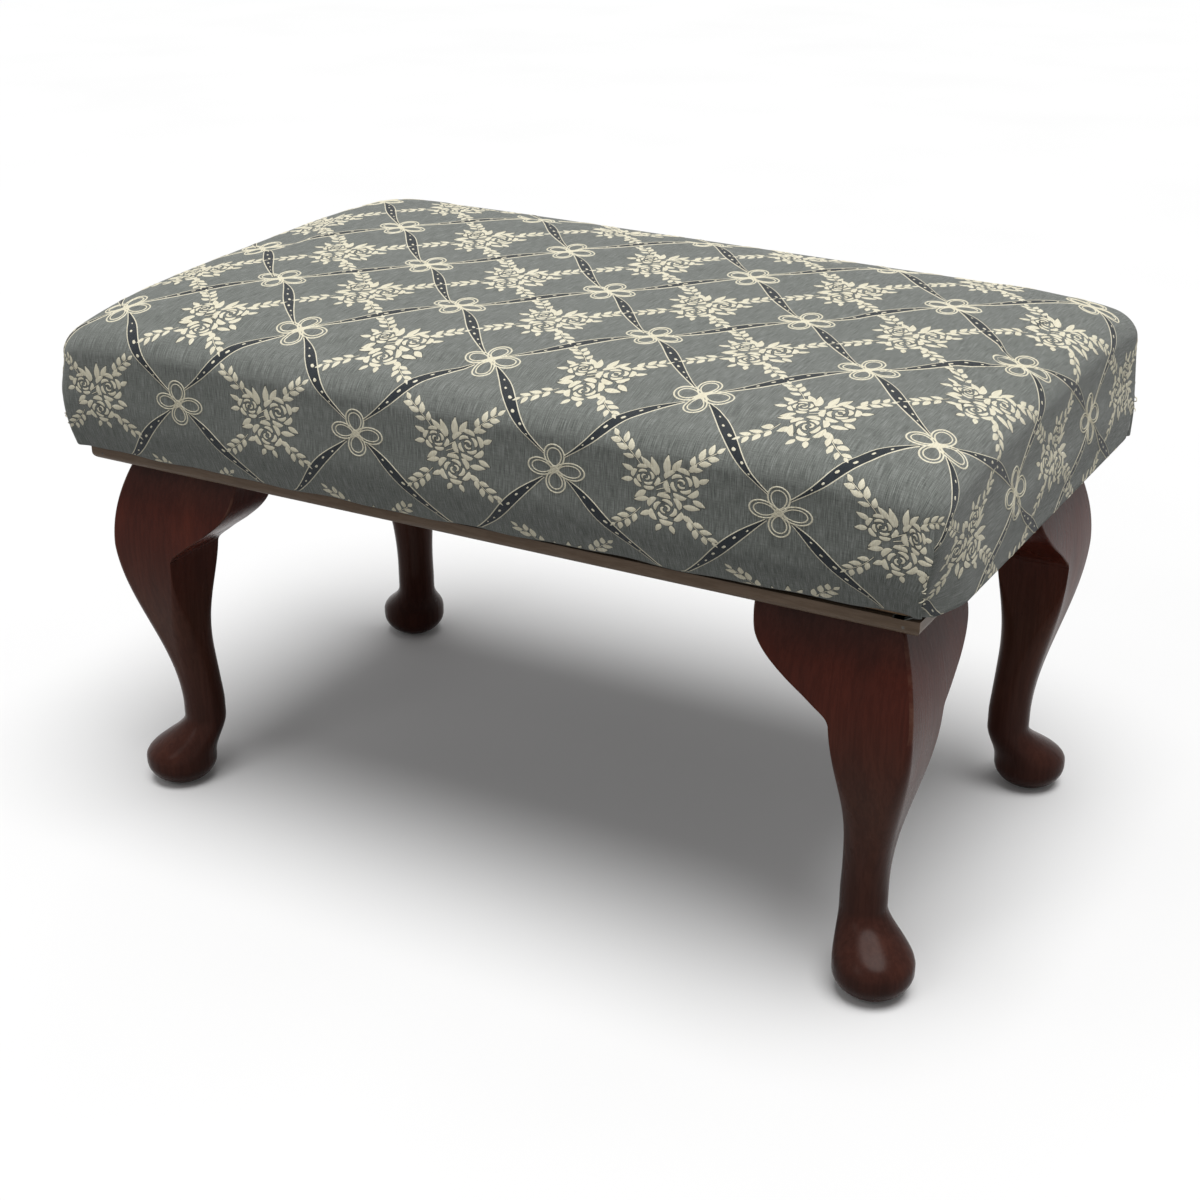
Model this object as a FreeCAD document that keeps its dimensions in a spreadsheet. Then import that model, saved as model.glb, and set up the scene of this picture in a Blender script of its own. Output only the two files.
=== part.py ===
import FreeCAD, Part
import math
import os
import re
import Sketcher
from FreeCAD import Placement, Rotation, Vector

# Upholstered footstool: four cabriole legs with ears under a mitred base moulding, and a stuffed pad
# on a webbed seat frame. Millimetres, +Z up, +X along the long side, -Y the front.
# The origin is on the floor, under the middle of the stool.

# Driving dimensions, each with what it measures
SIZES = {
    "base_width": (500, "base moulding, left to right"),
    "base_depth": (300, "base moulding, front to back"),
    "leg_length": (213, "floor to the underside of the moulding"),
    "moulding_thick": (8, "thickness of the moulding strips"),
    "moulding_strip": (60, "width of a moulding strip"),
    "moulding_round": (4, "rounding of the moulding's lower outer edge"),
    "rail_height": (42, "seat rails, bottom to top"),
    "rail_thick": (20, "seat rails, thickness"),
    "rail_setback": (2, "rail face inside the moulding's edge"),
    "block_leg": (50, "corner block along each rail"),
    "block_height": (30, "corner block, bottom to top"),
    "leg_inset_side": (0, "leg's outline inside the moulding's edge, on the ends"),
    "leg_inset_front": (4, "leg's outline inside the moulding's edge, front and back"),
    "knee_inset": (2.3, "outer face at the knee, from the leg's outline"),
    "knee_height": (158, "height of the knee's fullest point"),
    "top_inset": (15.7, "outer face at the top of the leg"),
    "post_inner": (44.8, "inner face of the post, where the ears are glued"),
    "ankle_height": (52, "height of the slimmest point"),
    "ankle_inset": (20.3, "outer face at the ankle"),
    "ankle_inner": (45.0, "inner face at the ankle"),
    "shank_hollow": (2.4, "how far the inner face is drawn in between ankle and post"),
    "foot_radius": (21.2, "pad foot, plan radius"),
    "foot_centre": (20.9, "pad foot's centre from the leg's outline"),
    "foot_middle": (14, "height of the pad foot's widest line"),
    "sole_radius": (8, "flat sole under the pad foot"),
    "toe_height": (17, "where the toe begins to turn in to the ankle"),
    "ankle_base": (42, "where the toe has met the ankle"),
    "arris_radius": (2, "worn rounding of the sharp outer corner at the knee"),
    "side_radius": (9, "rounding of the shank's two side corners"),
    "post_ease": (30, "height over which the shank squares up below the ears"),
    "ear_reach": (45.5, "ear, from the post to its tip"),
    "ear_drop": (58.5, "ear, from the moulding down to its foot"),
    "end_overhang": (10.7, "cover's lower edge beyond the moulding, at the ends"),
    "side_overhang": (3.5, "cover's lower edge beyond the moulding, front and back"),
    "end_belly": (0.8, "how far the ends swell beyond their lower edge"),
    "side_belly": (9.1, "how far the long sides swell beyond their lower edge"),
    "belly_height": (38, "fullest part of the sides above the moulding"),
    "pad_height": (79.5, "moulding to the pad's top at its edges"),
    "crown": (7, "rise of the pad's middle above its edges"),
    "shoulder_radius": (14.2, "rounding between sides and top"),
    "corner_foot": (5.5, "plan radius of a corner at the moulding"),
    "corner_belly": (17, "plan radius of a corner at the belly"),
    "cover_thick": (1.2, "woven cover"),
    "wadding_thick": (6, "wadding under the cover"),
    "layer_gap": (0.3, "clearance between soft layers"),
    "hem_width": (14, "cover turned in under the rails"),
    "strap_width": (50, "webbing strap, width"),
    "strap_thick": (1.2, "webbing strap, thickness"),
    "strap_fold": (18, "doubled end of a webbing strap"),
    "hessian_thick": (0.8, "hessian over the webbing"),
    "bottom_cloth_thick": (0.8, "bottom cloth under the moulding"),
    "bottom_cloth_lap": (10, "bottom cloth beyond the moulding's opening"),
    "bolt_radius": (4, "leg bolt"),
    "bolt_inset": (31, "leg bolt from the leg's outline"),
    "bolt_in_leg": (50, "leg bolt's length inside the leg"),
    "bolt_past_nut": (3, "leg bolt standing out of its nut"),
    "bolt_clearance": (0.4, "hole round the leg bolt in moulding and block"),
    "thread_clearance": (0.05, "hole round the leg bolt in leg and nut"),
    "washer_radius": (8.5, "washer"),
    "washer_thick": (1.6, "washer"),
    "nut_radius": (7.5, "nut, over its corners"),
    "nut_height": (6.5, "nut"),
    "dowel_radius": (4, "rail dowel"),
    "dowel_length": (28, "rail dowel"),
    "dowel_step": (20, "between the two dowels of a rail joint"),
    "ear_dowel_radius": (3, "ear dowel"),
    "ear_dowel_length": (16, "ear dowel"),
    "ear_dowel_drop": (18, "ear dowel below the moulding"),
    "screw_radius": (2, "wood screw, shank"),
    "screw_head": (4, "wood screw, head radius"),
    "screw_cone": (2.5, "wood screw, height of the countersunk head"),
    "screw_length": (30, "wood screw"),
    "block_screw_place": (30, "block screw from the rail's inner corner"),
    "pin_radius": (0.8, "mitre pin"),
    "pin_length": (22, "mitre pin"),
    "pin_inset": (8, "mitre pin from the moulding's end"),
    "tack_radius": (0.8, "tack, shank"),
    "tack_head": (3, "tack, head radius"),
    "tack_head_thick": (0.6, "tack, head"),
    "tack_length": (12, "tack"),
    "staple_width": (10, "staple, width of the crown"),
    "staple_wire": (0.8, "staple, wire"),
    "staple_depth": (7, "staple, length of its legs"),
}

doc = FreeCAD.newDocument("footstool")
sheet = doc.addObject("Spreadsheet::Sheet", "sizes")
for row, (name, (value, meaning)) in enumerate(SIZES.items(), start=1):
    sheet.set(f"A{row}", meaning)
    sheet.set(f"B{row}", str(value))
    sheet.setAlias(f"B{row}", name)
doc.recompute()

CORNERS = {"front_left": (-1, -1), "front_right": (1, -1), "back_left": (-1, 1), "back_right": (1, 1)}
parts = {}


# Helpers

def size(name):
    """The number that the sheet holds under this name."""
    return float(sheet.get(name))


def formula(text):
    """Text of an expression in which every driving dimension is read from the sheet."""
    return re.sub(r"[a-z_]+", lambda m: "sizes." + m.group(0) if m.group(0) in SIZES else m.group(0), text)


def bind(obj, **settings):
    """Ties properties to expressions; a double underscore in a name stands for a dot."""
    for name, text in settings.items():
        obj.setExpression(name.replace("__", "."), formula(text))
    return obj


def place(obj, x="0", y="0", z="0"):
    """Ties the object's place to three expressions."""
    return bind(obj, Placement__Base__x=x, Placement__Base__y=y, Placement__Base__z=z)


def add(kind, name):
    return doc.addObject(kind, name)


def box(name, x, y, z, length, width, height):
    made = bind(add("Part::Box", name), Length=length, Width=width, Height=height)
    return place(made, x, y, z)


def rod(name, radius, length, x, y, z, axis=(0, 0, 1)):
    """A cylinder from a start point along an axis."""
    made = bind(add("Part::Cylinder", name), Radius=radius, Height=length)
    made.Placement = Placement(Vector(), Rotation(Vector(0, 0, 1), Vector(*axis)))
    return place(made, x, y, z)


def group(name, members):
    """One node of separate solids."""
    made = add("Part::Compound", name)
    made.Links = members
    return made


def all_of(lists):
    """The members of several lists as one list."""
    return [one for many in lists.values() for one in many]


def joined(name, members):
    """One solid of several primitives."""
    made = add("Part::MultiFuse", name)
    made.Shapes = members
    return made


def cut(name, base, tools):
    """The base less every tool, so that what is driven into it fits its hole."""
    for number, tool in enumerate(tools, start=1):
        made = add("Part::Cut", name if number == len(tools) else f"{name}_step{number}")
        made.Base = base
        made.Tool = tool
        base = made
    return base


def keep(node, obj):
    """Names an object as a node of the part."""
    obj.Label = node
    parts[node] = obj
    return obj


def origin_plane(body, role):
    return next(plane for plane in body.Origin.OriginFeatures if plane.Role == role)


def outline(body, name, corners):
    """A closed sketch on the body's XY plane, each corner tied to two expressions."""
    sketch = body.newObject("Sketcher::SketchObject", name)
    sketch.AttachmentSupport = [(origin_plane(body, "XY_Plane"), "")]
    sketch.MapMode = "FlatFace"
    count = len(corners)
    around = [Vector(10, 0, 0)]
    turn = Rotation(Vector(0, 0, 1), 360 / count)
    for i in range(1, count):
        around.append(turn.multVec(around[-1]))
    for i in range(count):
        sketch.addGeometry(Part.LineSegment(around[i], around[(i + 1) % count]), False)
    for i in range(count):
        sketch.addConstraint(Sketcher.Constraint("Coincident", i, 2, (i + 1) % count, 1))
    for i, (x, y) in enumerate(corners):
        for kind, text in (("DistanceX", x), ("DistanceY", y)):
            sketch.addConstraint(Sketcher.Constraint(kind, -1, 1, i, 1, 1.0))
            sketch.setExpression(f"Constraints[{sketch.ConstraintCount - 1}]", formula(text))
    return sketch


def pad(body, name, sketch, height):
    made = body.newObject("PartDesign::Pad", name)
    made.Profile = sketch
    return bind(made, Length=height)


# Heights and places that several pieces share, as expressions

MOULDING_TOP = "(leg_length + moulding_thick)"
RAIL_BOTTOM = f"({MOULDING_TOP} + cover_thick)"
RAIL_TOP = f"({RAIL_BOTTOM} + rail_height)"
BLOCK_TOP = f"({MOULDING_TOP} + block_height)"
WASHER_TOP = f"({BLOCK_TOP} + washer_thick)"
WEB_LOW = RAIL_TOP
WEB_HIGH = f"({RAIL_TOP} + strap_thick)"
HESSIAN_BOTTOM = f"({RAIL_TOP} + 2 * strap_thick)"
RAIL_X = "(base_width / 2 - rail_setback)"
RAIL_Y = "(base_depth / 2 - rail_setback)"
INNER_X = f"({RAIL_X} - rail_thick)"
INNER_Y = f"({RAIL_Y} - rail_thick)"


def bolt_place(side_x, side_y):
    """Where a leg bolt stands in plan."""
    return (f"{side_x} * (base_width / 2 - leg_inset_side - bolt_inset)",
            f"{side_y} * (base_depth / 2 - leg_inset_front - bolt_inset)")


# Leg: one loft through rounded squares, sharp at the knee and round from the ankle down

def blend(share):
    """Eases from 0 to 1 as a half cosine."""
    return (1 - math.cos(math.pi * min(max(share, 0), 1))) / 2


def leg_outer(z):
    """Outer face of the leg from its outline at height z."""
    if z >= size("knee_height"):
        share = (z - size("knee_height")) / (size("leg_length") - size("knee_height"))
        return size("knee_inset") + (size("top_inset") - size("knee_inset")) * share ** 2
    if z >= size("ankle_height"):
        share = (z - size("ankle_height")) / (size("knee_height") - size("ankle_height"))
        return size("ankle_inset") + (size("knee_inset") - size("ankle_inset")) * blend(share)
    if z >= size("foot_middle"):
        share = (z - size("toe_height")) / (size("ankle_base") - size("toe_height"))
        toe = size("foot_centre") - size("foot_radius")
        return toe + (size("ankle_inset") - toe) * blend(share)
    return size("foot_centre") - foot_reach(z)


def leg_inner(z):
    """Inner face of the leg from its outline at height z, a little proud of the post's glued face."""
    ear_foot = size("leg_length") - size("ear_drop")
    if z >= size("ankle_height"):
        share = min((z - size("ankle_height")) / (ear_foot - size("ankle_height")), 1)
        straight = size("ankle_inner") + (size("post_inner") - size("ankle_inner")) * share
        return straight - size("shank_hollow") * math.sin(math.pi * share) + saw_allowance(z)
    if z >= size("foot_middle"):
        share = (z - size("foot_middle")) / (size("ankle_base") - size("foot_middle"))
        heel = size("foot_centre") + size("foot_radius")
        return heel + (size("ankle_inner") - heel) * blend(share)
    return size("foot_centre") + foot_reach(z)


def foot_reach(z):
    """Plan radius of the pad foot below its widest line: an ellipse that the flat sole cuts."""
    cut_away = (1 - z / size("foot_middle")) ** 2 * (1 - (size("sole_radius") / size("foot_radius")) ** 2)
    return size("foot_radius") * math.sqrt(1 - cut_away)


SAW_ALLOWANCE = 0.8
ALLOWANCE_EASE = 12


def saw_allowance(z):
    """Wood left on the inner faces of the post, which the glued faces are then planed back to."""
    ear_foot = size("leg_length") - size("ear_drop")
    return SAW_ALLOWANCE * blend((z - ear_foot) / ALLOWANCE_EASE)


def quarter(centre, radius, start):
    """Three points of a quarter circle from this angle on."""
    angles = [math.radians(start + turn) for turn in (0, 45, 90)]
    return [centre + Vector(math.cos(angle), math.sin(angle), 0) * radius for angle in angles]


def closed(arcs):
    """Closed wire of arcs, each given by three points, with a line from each to the next."""
    wire = []
    for i, arc in enumerate(arcs):
        following = arcs[(i + 1) % len(arcs)]
        wire += [Part.Arc(*arc).toShape(), Part.makeLine(arc[2], following[0])]
    return Part.Wire(wire)


def rounded_square(low, high, near, side, far, z):
    """Closed wire of four lines and four arcs from low to high both ways, with a radius for the low corner,
    the two side corners and the high corner."""
    radii = {(low, low): near, (high, low): side, (high, high): far, (low, high): side}
    turns = {(low, low): 180, (high, low): 270, (high, high): 0, (low, high): 90}
    arcs = []
    for (x, y), radius in radii.items():
        centre = Vector(x + radius if x == low else x - radius, y + radius if y == low else y - radius, z)
        arcs.append(quarter(centre, radius, turns[(x, y)]))
    return closed(arcs)


LEAST_FLAT = 0.15


def leg_section(z):
    """Section of the leg at height z: round at the ankle, a small arris at the knee, square at the post."""
    low, high = leg_outer(z), leg_inner(z)
    half = (high - low) / 2 - LEAST_FLAT
    arris = size("arris_radius")
    squareness = min(max((z - size("ankle_height")) / (size("knee_height") - size("ankle_height")), 0), 1)
    post = blend((z - size("leg_length") + size("ear_drop")) / size("post_ease") + 1)
    near = half + (arris - half) * squareness
    side = half + (size("side_radius") - half) * squareness
    side += (arris - side) * post
    far = half + (arris - half) * post
    return rounded_square(low, high, near, side, far, z)


def leg_heights():
    """Heights of the sections: close together in the foot, wider apart in the shank."""
    foot = [size("foot_middle") * share for share in (0, 0.15, 0.4, 0.7, 1)]
    span = size("ankle_height") - size("foot_middle")
    toe = [size("foot_middle") + span * step / 9 for step in range(1, 10)]
    rise = size("leg_length") - size("ankle_height")
    shank = [size("ankle_height") + rise * step / 14 for step in range(1, 15)]
    return foot + toe + shank


def slab(low_x, low_y, low_z, high_x, high_y, high_z):
    return Part.makeBox(high_x - low_x, high_y - low_y, high_z - low_z, Vector(low_x, low_y, low_z))


def leg_shape():
    """Leg in its own frame: X and Y run inwards from its outline, Z up from the floor."""
    blank = Part.makeLoft([leg_section(z) for z in leg_heights()], True, False)
    far, top = 2 * size("post_inner"), size("leg_length") + 1
    ear_foot = size("leg_length") - size("ear_drop")
    planed = slab(size("post_inner"), -far, ear_foot, far, far, top)
    planed_too = slab(-far, size("post_inner"), ear_foot, far, far, top)
    return blank.cut(planed).cut(planed_too)


# Ear: a bracket as thick as the post, sawn to a cyma outline, its face flush with the leg's.
# Each point of the cyma is the share of the drop below the moulding, and the share of the reach.

EAR_CYMA = ((0, 1), (0.2, 0.985), (0.39, 0.91), (0.51, 0.78), (0.64, 0.58), (0.82, 0.255), (1, 0))


def curve(points):
    made = Part.BSplineCurve()
    made.interpolate(points)
    return made.toShape()


def ear_shape():
    """Ear in the leg's frame, along X from the post."""
    top, post = size("leg_length"), size("post_inner")
    cyma = [Vector(post + size("ear_reach") * out, 0, top - size("ear_drop") * down)
            for down, out in EAR_CYMA]
    corner = Vector(post, 0, top)
    lower = [curve(cyma), Part.makeLine(cyma[-1], corner), Part.makeLine(corner, cyma[0])]
    board = Part.Face(Part.Wire(lower)).extrude(Vector(0, post, 0))
    heights = [top - size("ear_drop") * step / 8 for step in range(9)]
    face = [Vector(post, leg_outer(z), z) for z in heights]
    rear = [Vector(post, post, heights[-1]), Vector(post, post, top)]
    edges = [curve(face), Part.makeLine(face[-1], rear[0])]
    edges += [Part.makeLine(*rear), Part.makeLine(rear[1], face[0])]
    return board.common(Part.Face(Part.Wire(edges)).extrude(Vector(size("ear_reach"), 0, 0)))


def to_corner(shape, side_x, side_y):
    """Turns a shape from the leg's frame towards a corner, mirrored where the corner needs it."""
    made = shape
    if side_x > 0:
        made = made.mirror(Vector(), Vector(1, 0, 0))
    if side_y > 0:
        made = made.mirror(Vector(), Vector(0, 1, 0))
    return made


def corner_feature(name, shape, side_x, side_y):
    made = add("Part::Feature", name)
    made.Shape = to_corner(shape, side_x, side_y)
    return place(made, f"{side_x} * (base_width / 2 - leg_inset_side)",
                 f"{side_y} * (base_depth / 2 - leg_inset_front)")


# Fasteners of the legs

bolts, washers, nuts, ear_dowels = [], [], [], []


def leg_fasteners(corner, side_x, side_y):
    """Bolt, washer and nut over one leg, and the dowels of its two ears."""
    x, y = bolt_place(side_x, side_y)
    rise = "bolt_in_leg + moulding_thick + block_height + washer_thick + nut_height + bolt_past_nut"
    bolts.append(rod(f"bolt_{corner}", "bolt_radius", rise, x, y, "leg_length - bolt_in_leg"))
    hole = "bolt_radius + bolt_clearance"
    disc = rod(f"disc_{corner}", "washer_radius", "washer_thick", x, y, BLOCK_TOP)
    eye = rod(f"eye_{corner}", hole, "washer_thick", x, y, BLOCK_TOP)
    washers.append(cut(f"washer_{corner}", disc, [eye]))
    prism = bind(add("Part::Prism", f"prism_{corner}"), Circumradius="nut_radius", Height="nut_height")
    prism.Polygon = 6
    place(prism, x, y, WASHER_TOP)
    thread = rod(f"thread_{corner}", "bolt_radius + thread_clearance", "nut_height", x, y, WASHER_TOP)
    nuts.append(cut(f"nut_{corner}", prism, [thread]))
    post_x = "(base_width / 2 - leg_inset_side - post_inner)"
    post_y = "(base_depth / 2 - leg_inset_front - post_inner)"
    mid_x = "(base_width / 2 - leg_inset_side - (top_inset + post_inner) / 2)"
    mid_y = "(base_depth / 2 - leg_inset_front - (top_inset + post_inner) / 2)"
    height = "leg_length - ear_dowel_drop"
    pegs = [rod(f"peg_long_{corner}", "ear_dowel_radius", "ear_dowel_length",
                f"{side_x} * {post_x} - ear_dowel_length / 2", f"{side_y} * {mid_y}", height, (1, 0, 0)),
            rod(f"peg_short_{corner}", "ear_dowel_radius", "ear_dowel_length",
                f"{side_x} * {mid_x}", f"{side_y} * {post_y} - ear_dowel_length / 2", height, (0, 1, 0))]
    ear_dowels.extend(pegs)
    return pegs


leg, ear = leg_shape(), ear_shape()
ear_short = ear.mirror(Vector(), Vector(1, -1, 0))
for corner, (side_x, side_y) in CORNERS.items():
    pegs = leg_fasteners(corner, side_x, side_y)
    x, y = bolt_place(side_x, side_y)
    bore = rod(f"bore_{corner}", "bolt_radius + thread_clearance", "bolt_in_leg", x, y,
               "leg_length - bolt_in_leg")
    blank = corner_feature(f"leg_blank_{corner}", leg, side_x, side_y)
    keep(f"leg_{corner}", cut(f"leg_{corner}", blank, [bore] + pegs))
    for run, shape, peg in (("long", ear, pegs[0]), ("short", ear_short, pegs[1])):
        blank = corner_feature(f"ear_blank_{corner}_{run}", shape, side_x, side_y)
        keep(f"ear_{corner}_{run}", cut(f"ear_{corner}_{run}", blank, [peg]))
keep("leg_bolts", group("leg_bolts", bolts))
keep("leg_washers", group("leg_washers", washers))
keep("leg_nuts", group("leg_nuts", nuts))
keep("ear_dowels", group("ear_dowels", ear_dowels))


# Screws, pins, tacks and staples

def screw(name, x, y, z, axis):
    """Countersunk screw whose head is flush at the start point and whose shank runs along the axis."""
    head = add("Part::Cone", f"{name}_head")
    bind(head, Radius1="screw_head", Radius2="screw_radius", Height="screw_cone")
    head.Placement = Placement(Vector(), Rotation(Vector(0, 0, 1), Vector(*axis)))
    place(head, x, y, z)
    return joined(name, [head, rod(f"{name}_shank", "screw_radius", "screw_length", x, y, z, axis)])


def tack(name, x, y, surface, axis):
    """Tack driven along the axis, its head lying on the surface."""
    up = -axis[2]
    head = rod(f"{name}_head", "tack_head", "tack_head_thick", x, y, surface, (0, 0, up))
    return joined(name, [head, rod(f"{name}_shank", "tack_radius", "tack_length", x, y, surface, axis)])


def staple(name, x, y, crown_bottom, along_x):
    """Staple driven upwards: a crown with two legs, along X or along Y."""
    half = "staple_width / 2"
    length, width = ("staple_width", "staple_wire") if along_x else ("staple_wire", "staple_width")
    crown = box(f"{name}_crown", f"{x} - ({length}) / 2", f"{y} - ({width}) / 2", crown_bottom,
                length, width, "staple_wire")
    legs = []
    for side, number in ((-1, 1), (1, 2)):
        shift = f"{side} * ({half} - staple_wire / 2)"
        leg_x = f"{x} + {shift} - staple_wire / 2" if along_x else f"{x} - staple_wire / 2"
        leg_y = f"{y} - staple_wire / 2" if along_x else f"{y} + {shift} - staple_wire / 2"
        legs.append(box(f"{name}_leg{number}", leg_x, leg_y, crown_bottom,
                        "staple_wire", "staple_wire", "staple_wire + staple_depth"))
    return joined(name, [crown] + legs)


RAIL_MID_X = f"({RAIL_X} - rail_thick / 2)"
RAIL_MID_Y = f"({RAIL_Y} - rail_thick / 2)"
moulding_screws = {"front": [], "back": [], "left": [], "right": []}
for side, name in ((-1, "front"), (1, "back")):
    for number, share in enumerate((-0.22, 0, 0.22)):
        moulding_screws[name].append(screw(f"moulding_screw_{name}{number}", f"{share} * base_width",
                                           f"{side} * {RAIL_MID_Y}", "leg_length", (0, 0, 1)))
for side, name in ((-1, "left"), (1, "right")):
    for number, share in enumerate((-0.1, 0.1)):
        moulding_screws[name].append(screw(f"moulding_screw_{name}{number}", f"{side} * {RAIL_MID_X}",
                                           f"{share} * base_depth", "leg_length", (0, 0, 1)))
keep("moulding_screws", group("moulding_screws", all_of(moulding_screws)))

block_screws = {}
for corner, (side_x, side_y) in CORNERS.items():
    level = f"{MOULDING_TOP} + block_height / 2"
    reach = "(block_leg - block_screw_place)"
    into_end = screw(f"block_screw_end_{corner}", f"{side_x} * ({INNER_X} - {reach})",
                     f"{side_y} * ({INNER_Y} - block_screw_place)", level, (side_x, 0, 0))
    into_long = screw(f"block_screw_long_{corner}", f"{side_x} * ({INNER_X} - block_screw_place)",
                      f"{side_y} * ({INNER_Y} - {reach})", level, (0, side_y, 0))
    block_screws[corner] = (into_end, into_long)
keep("corner_block_screws", group("corner_block_screws", all_of(block_screws)))

mitre_pins = {}
for corner, (side_x, side_y) in CORNERS.items():
    mitre_pins[corner] = rod(f"mitre_pin_{corner}", "pin_radius", "pin_length",
                             f"{side_x} * (base_width / 2 - pin_inset)", f"{side_y} * base_depth / 2",
                             "leg_length + moulding_thick / 2", (0, -side_y, 0))
keep("mitre_pins", group("mitre_pins", list(mitre_pins.values())))

rail_dowels = {}
for corner, (side_x, side_y) in CORNERS.items():
    rail_dowels[corner] = [
        rod(f"rail_dowel_{corner}{number}", "dowel_radius", "dowel_length", f"{side_x} * {RAIL_MID_X}",
            f"{side_y} * {INNER_Y} - dowel_length / 2",
            f"{RAIL_BOTTOM} + rail_height / 2 + {way} * dowel_step / 2", (0, 1, 0))
        for number, way in enumerate((-1, 1))]
keep("rail_dowels", group("rail_dowels", all_of(rail_dowels)))


# Webbing: straps along and across, each with doubled ends under its tacks

LONG_STRAPS = (-0.27, 0, 0.27)
CROSS_STRAPS = (-0.36, -0.18, 0, 0.18, 0.36)
TACK_STEPS = (-0.32, 0, 0.32)
straps_long, straps_cross = [], []
tacks = {"front": [], "back": [], "left": [], "right": []}
for number, share in enumerate(LONG_STRAPS):
    low_y = f"{share} * base_depth - strap_width / 2"
    flat = box(f"strap_long{number}_flat", f"-{RAIL_MID_X} - strap_fold / 2", low_y, WEB_LOW,
               f"2 * {RAIL_MID_X} + strap_fold", "strap_width", "strap_thick")
    ends = [box(f"strap_long{number}_{name}", f"{side} * {RAIL_MID_X} - strap_fold / 2", low_y, WEB_HIGH,
                "strap_fold", "strap_width", "strap_thick") for side, name in ((-1, "left"), (1, "right"))]
    straps_long.append(joined(f"strap_long{number}", [flat] + ends))
    for side, name in ((-1, "left"), (1, "right")):
        for step_number, step in enumerate(TACK_STEPS):
            tacks[name].append(tack(f"tack_{name}{number}{step_number}", f"{side} * {RAIL_MID_X}",
                                    f"{share} * base_depth + {step} * strap_width",
                                    f"{WEB_HIGH} + strap_thick", (0, 0, -1)))
for number, share in enumerate(CROSS_STRAPS):
    low_x = f"{share} * base_width - strap_width / 2"
    flat = box(f"strap_cross{number}_flat", low_x, f"-{RAIL_MID_Y} - strap_fold / 2", WEB_HIGH,
               "strap_width", f"2 * {RAIL_MID_Y} + strap_fold", "strap_thick")
    ends = [box(f"strap_cross{number}_{name}", low_x, f"{side} * {RAIL_MID_Y} - strap_fold / 2", WEB_LOW,
                "strap_width", "strap_fold", "strap_thick") for side, name in ((-1, "front"), (1, "back"))]
    straps_cross.append(joined(f"strap_cross{number}", [flat] + ends))
    for side, name in ((-1, "front"), (1, "back")):
        for step_number, step in enumerate(TACK_STEPS):
            tacks[name].append(tack(f"tack_{name}{number}{step_number}",
                                    f"{share} * base_width + {step} * strap_width", f"{side} * {RAIL_MID_Y}",
                                    f"{WEB_HIGH} + strap_thick", (0, 0, -1)))
tack_groups = {name: group(f"tacks_{name}", many) for name, many in tacks.items()}
end_tacks = group("tacks_of_long_straps", [tack_groups["left"], tack_groups["right"]])
side_tacks = group("tacks_of_cross_straps", [tack_groups["front"], tack_groups["back"]])
keep("webbing_lengthwise", cut("webbing_lengthwise", group("straps_long", straps_long), [end_tacks]))
keep("webbing_crosswise", cut("webbing_crosswise", group("straps_cross", straps_cross), [side_tacks]))
keep("webbing_tacks", group("webbing_tacks", all_of(tacks)))


# Staples of the cover's hem and of the bottom cloth

HEM_MID_X = f"({RAIL_X} - hem_width / 2)"
HEM_MID_Y = f"({RAIL_Y} - hem_width / 2)"
HEM_LONG = (-0.4, -0.3, -0.14, 0.14, 0.3, 0.4)
HEM_SHORT = (-0.35, -0.18, 0, 0.18, 0.35)
hem_staples = {"front": [], "back": [], "left": [], "right": []}
for side, name in ((-1, "front"), (1, "back")):
    for number, share in enumerate(HEM_LONG):
        hem_staples[name].append(staple(f"hem_staple_{name}{number}", f"{share} * base_width",
                                        f"{side} * {HEM_MID_Y}", MOULDING_TOP, True))
for side, name in ((-1, "left"), (1, "right")):
    for number, share in enumerate(HEM_SHORT):
        hem_staples[name].append(staple(f"hem_staple_{name}{number}", f"{side} * {HEM_MID_X}",
                                        f"{share} * base_depth", MOULDING_TOP, False))
all_hem_staples = keep("cover_staples", group("cover_staples", all_of(hem_staples)))

CLOTH_BOTTOM = "(leg_length - bottom_cloth_thick)"
CLOTH_X = "(base_width / 2 - moulding_strip + bottom_cloth_lap)"
CLOTH_Y = "(base_depth / 2 - moulding_strip + bottom_cloth_lap)"
CLOTH_LONG = (-0.34, -0.2, -0.07, 0.07, 0.2, 0.34)
CLOTH_SHORT = (-0.24, -0.08, 0.08, 0.24)
cloth_staples = {"front": [], "back": [], "left": [], "right": []}
for side, name in ((-1, "front"), (1, "back")):
    for number, share in enumerate(CLOTH_LONG):
        cloth_staples[name].append(staple(f"cloth_staple_{name}{number}", f"{share} * base_width",
                                          f"{side} * ({CLOTH_Y} - bottom_cloth_lap / 2)",
                                          f"{CLOTH_BOTTOM} - staple_wire", True))
for side, name in ((-1, "left"), (1, "right")):
    for number, share in enumerate(CLOTH_SHORT):
        cloth_staples[name].append(staple(f"cloth_staple_{name}{number}",
                                          f"{side} * ({CLOTH_X} - bottom_cloth_lap / 2)",
                                          f"{share} * base_depth", f"{CLOTH_BOTTOM} - staple_wire", False))
all_cloth_staples = keep("bottom_cloth_staples", group("bottom_cloth_staples", all_of(cloth_staples)))
sheet_cloth = box("bottom_cloth_sheet", f"-{CLOTH_X}", f"-{CLOTH_Y}", CLOTH_BOTTOM,
                  f"2 * {CLOTH_X}", f"2 * {CLOTH_Y}", "bottom_cloth_thick")
keep("bottom_cloth", cut("bottom_cloth", sheet_cloth, [all_cloth_staples]))


# Base moulding: four mitred strips, rounded along the lower outer edge

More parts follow.
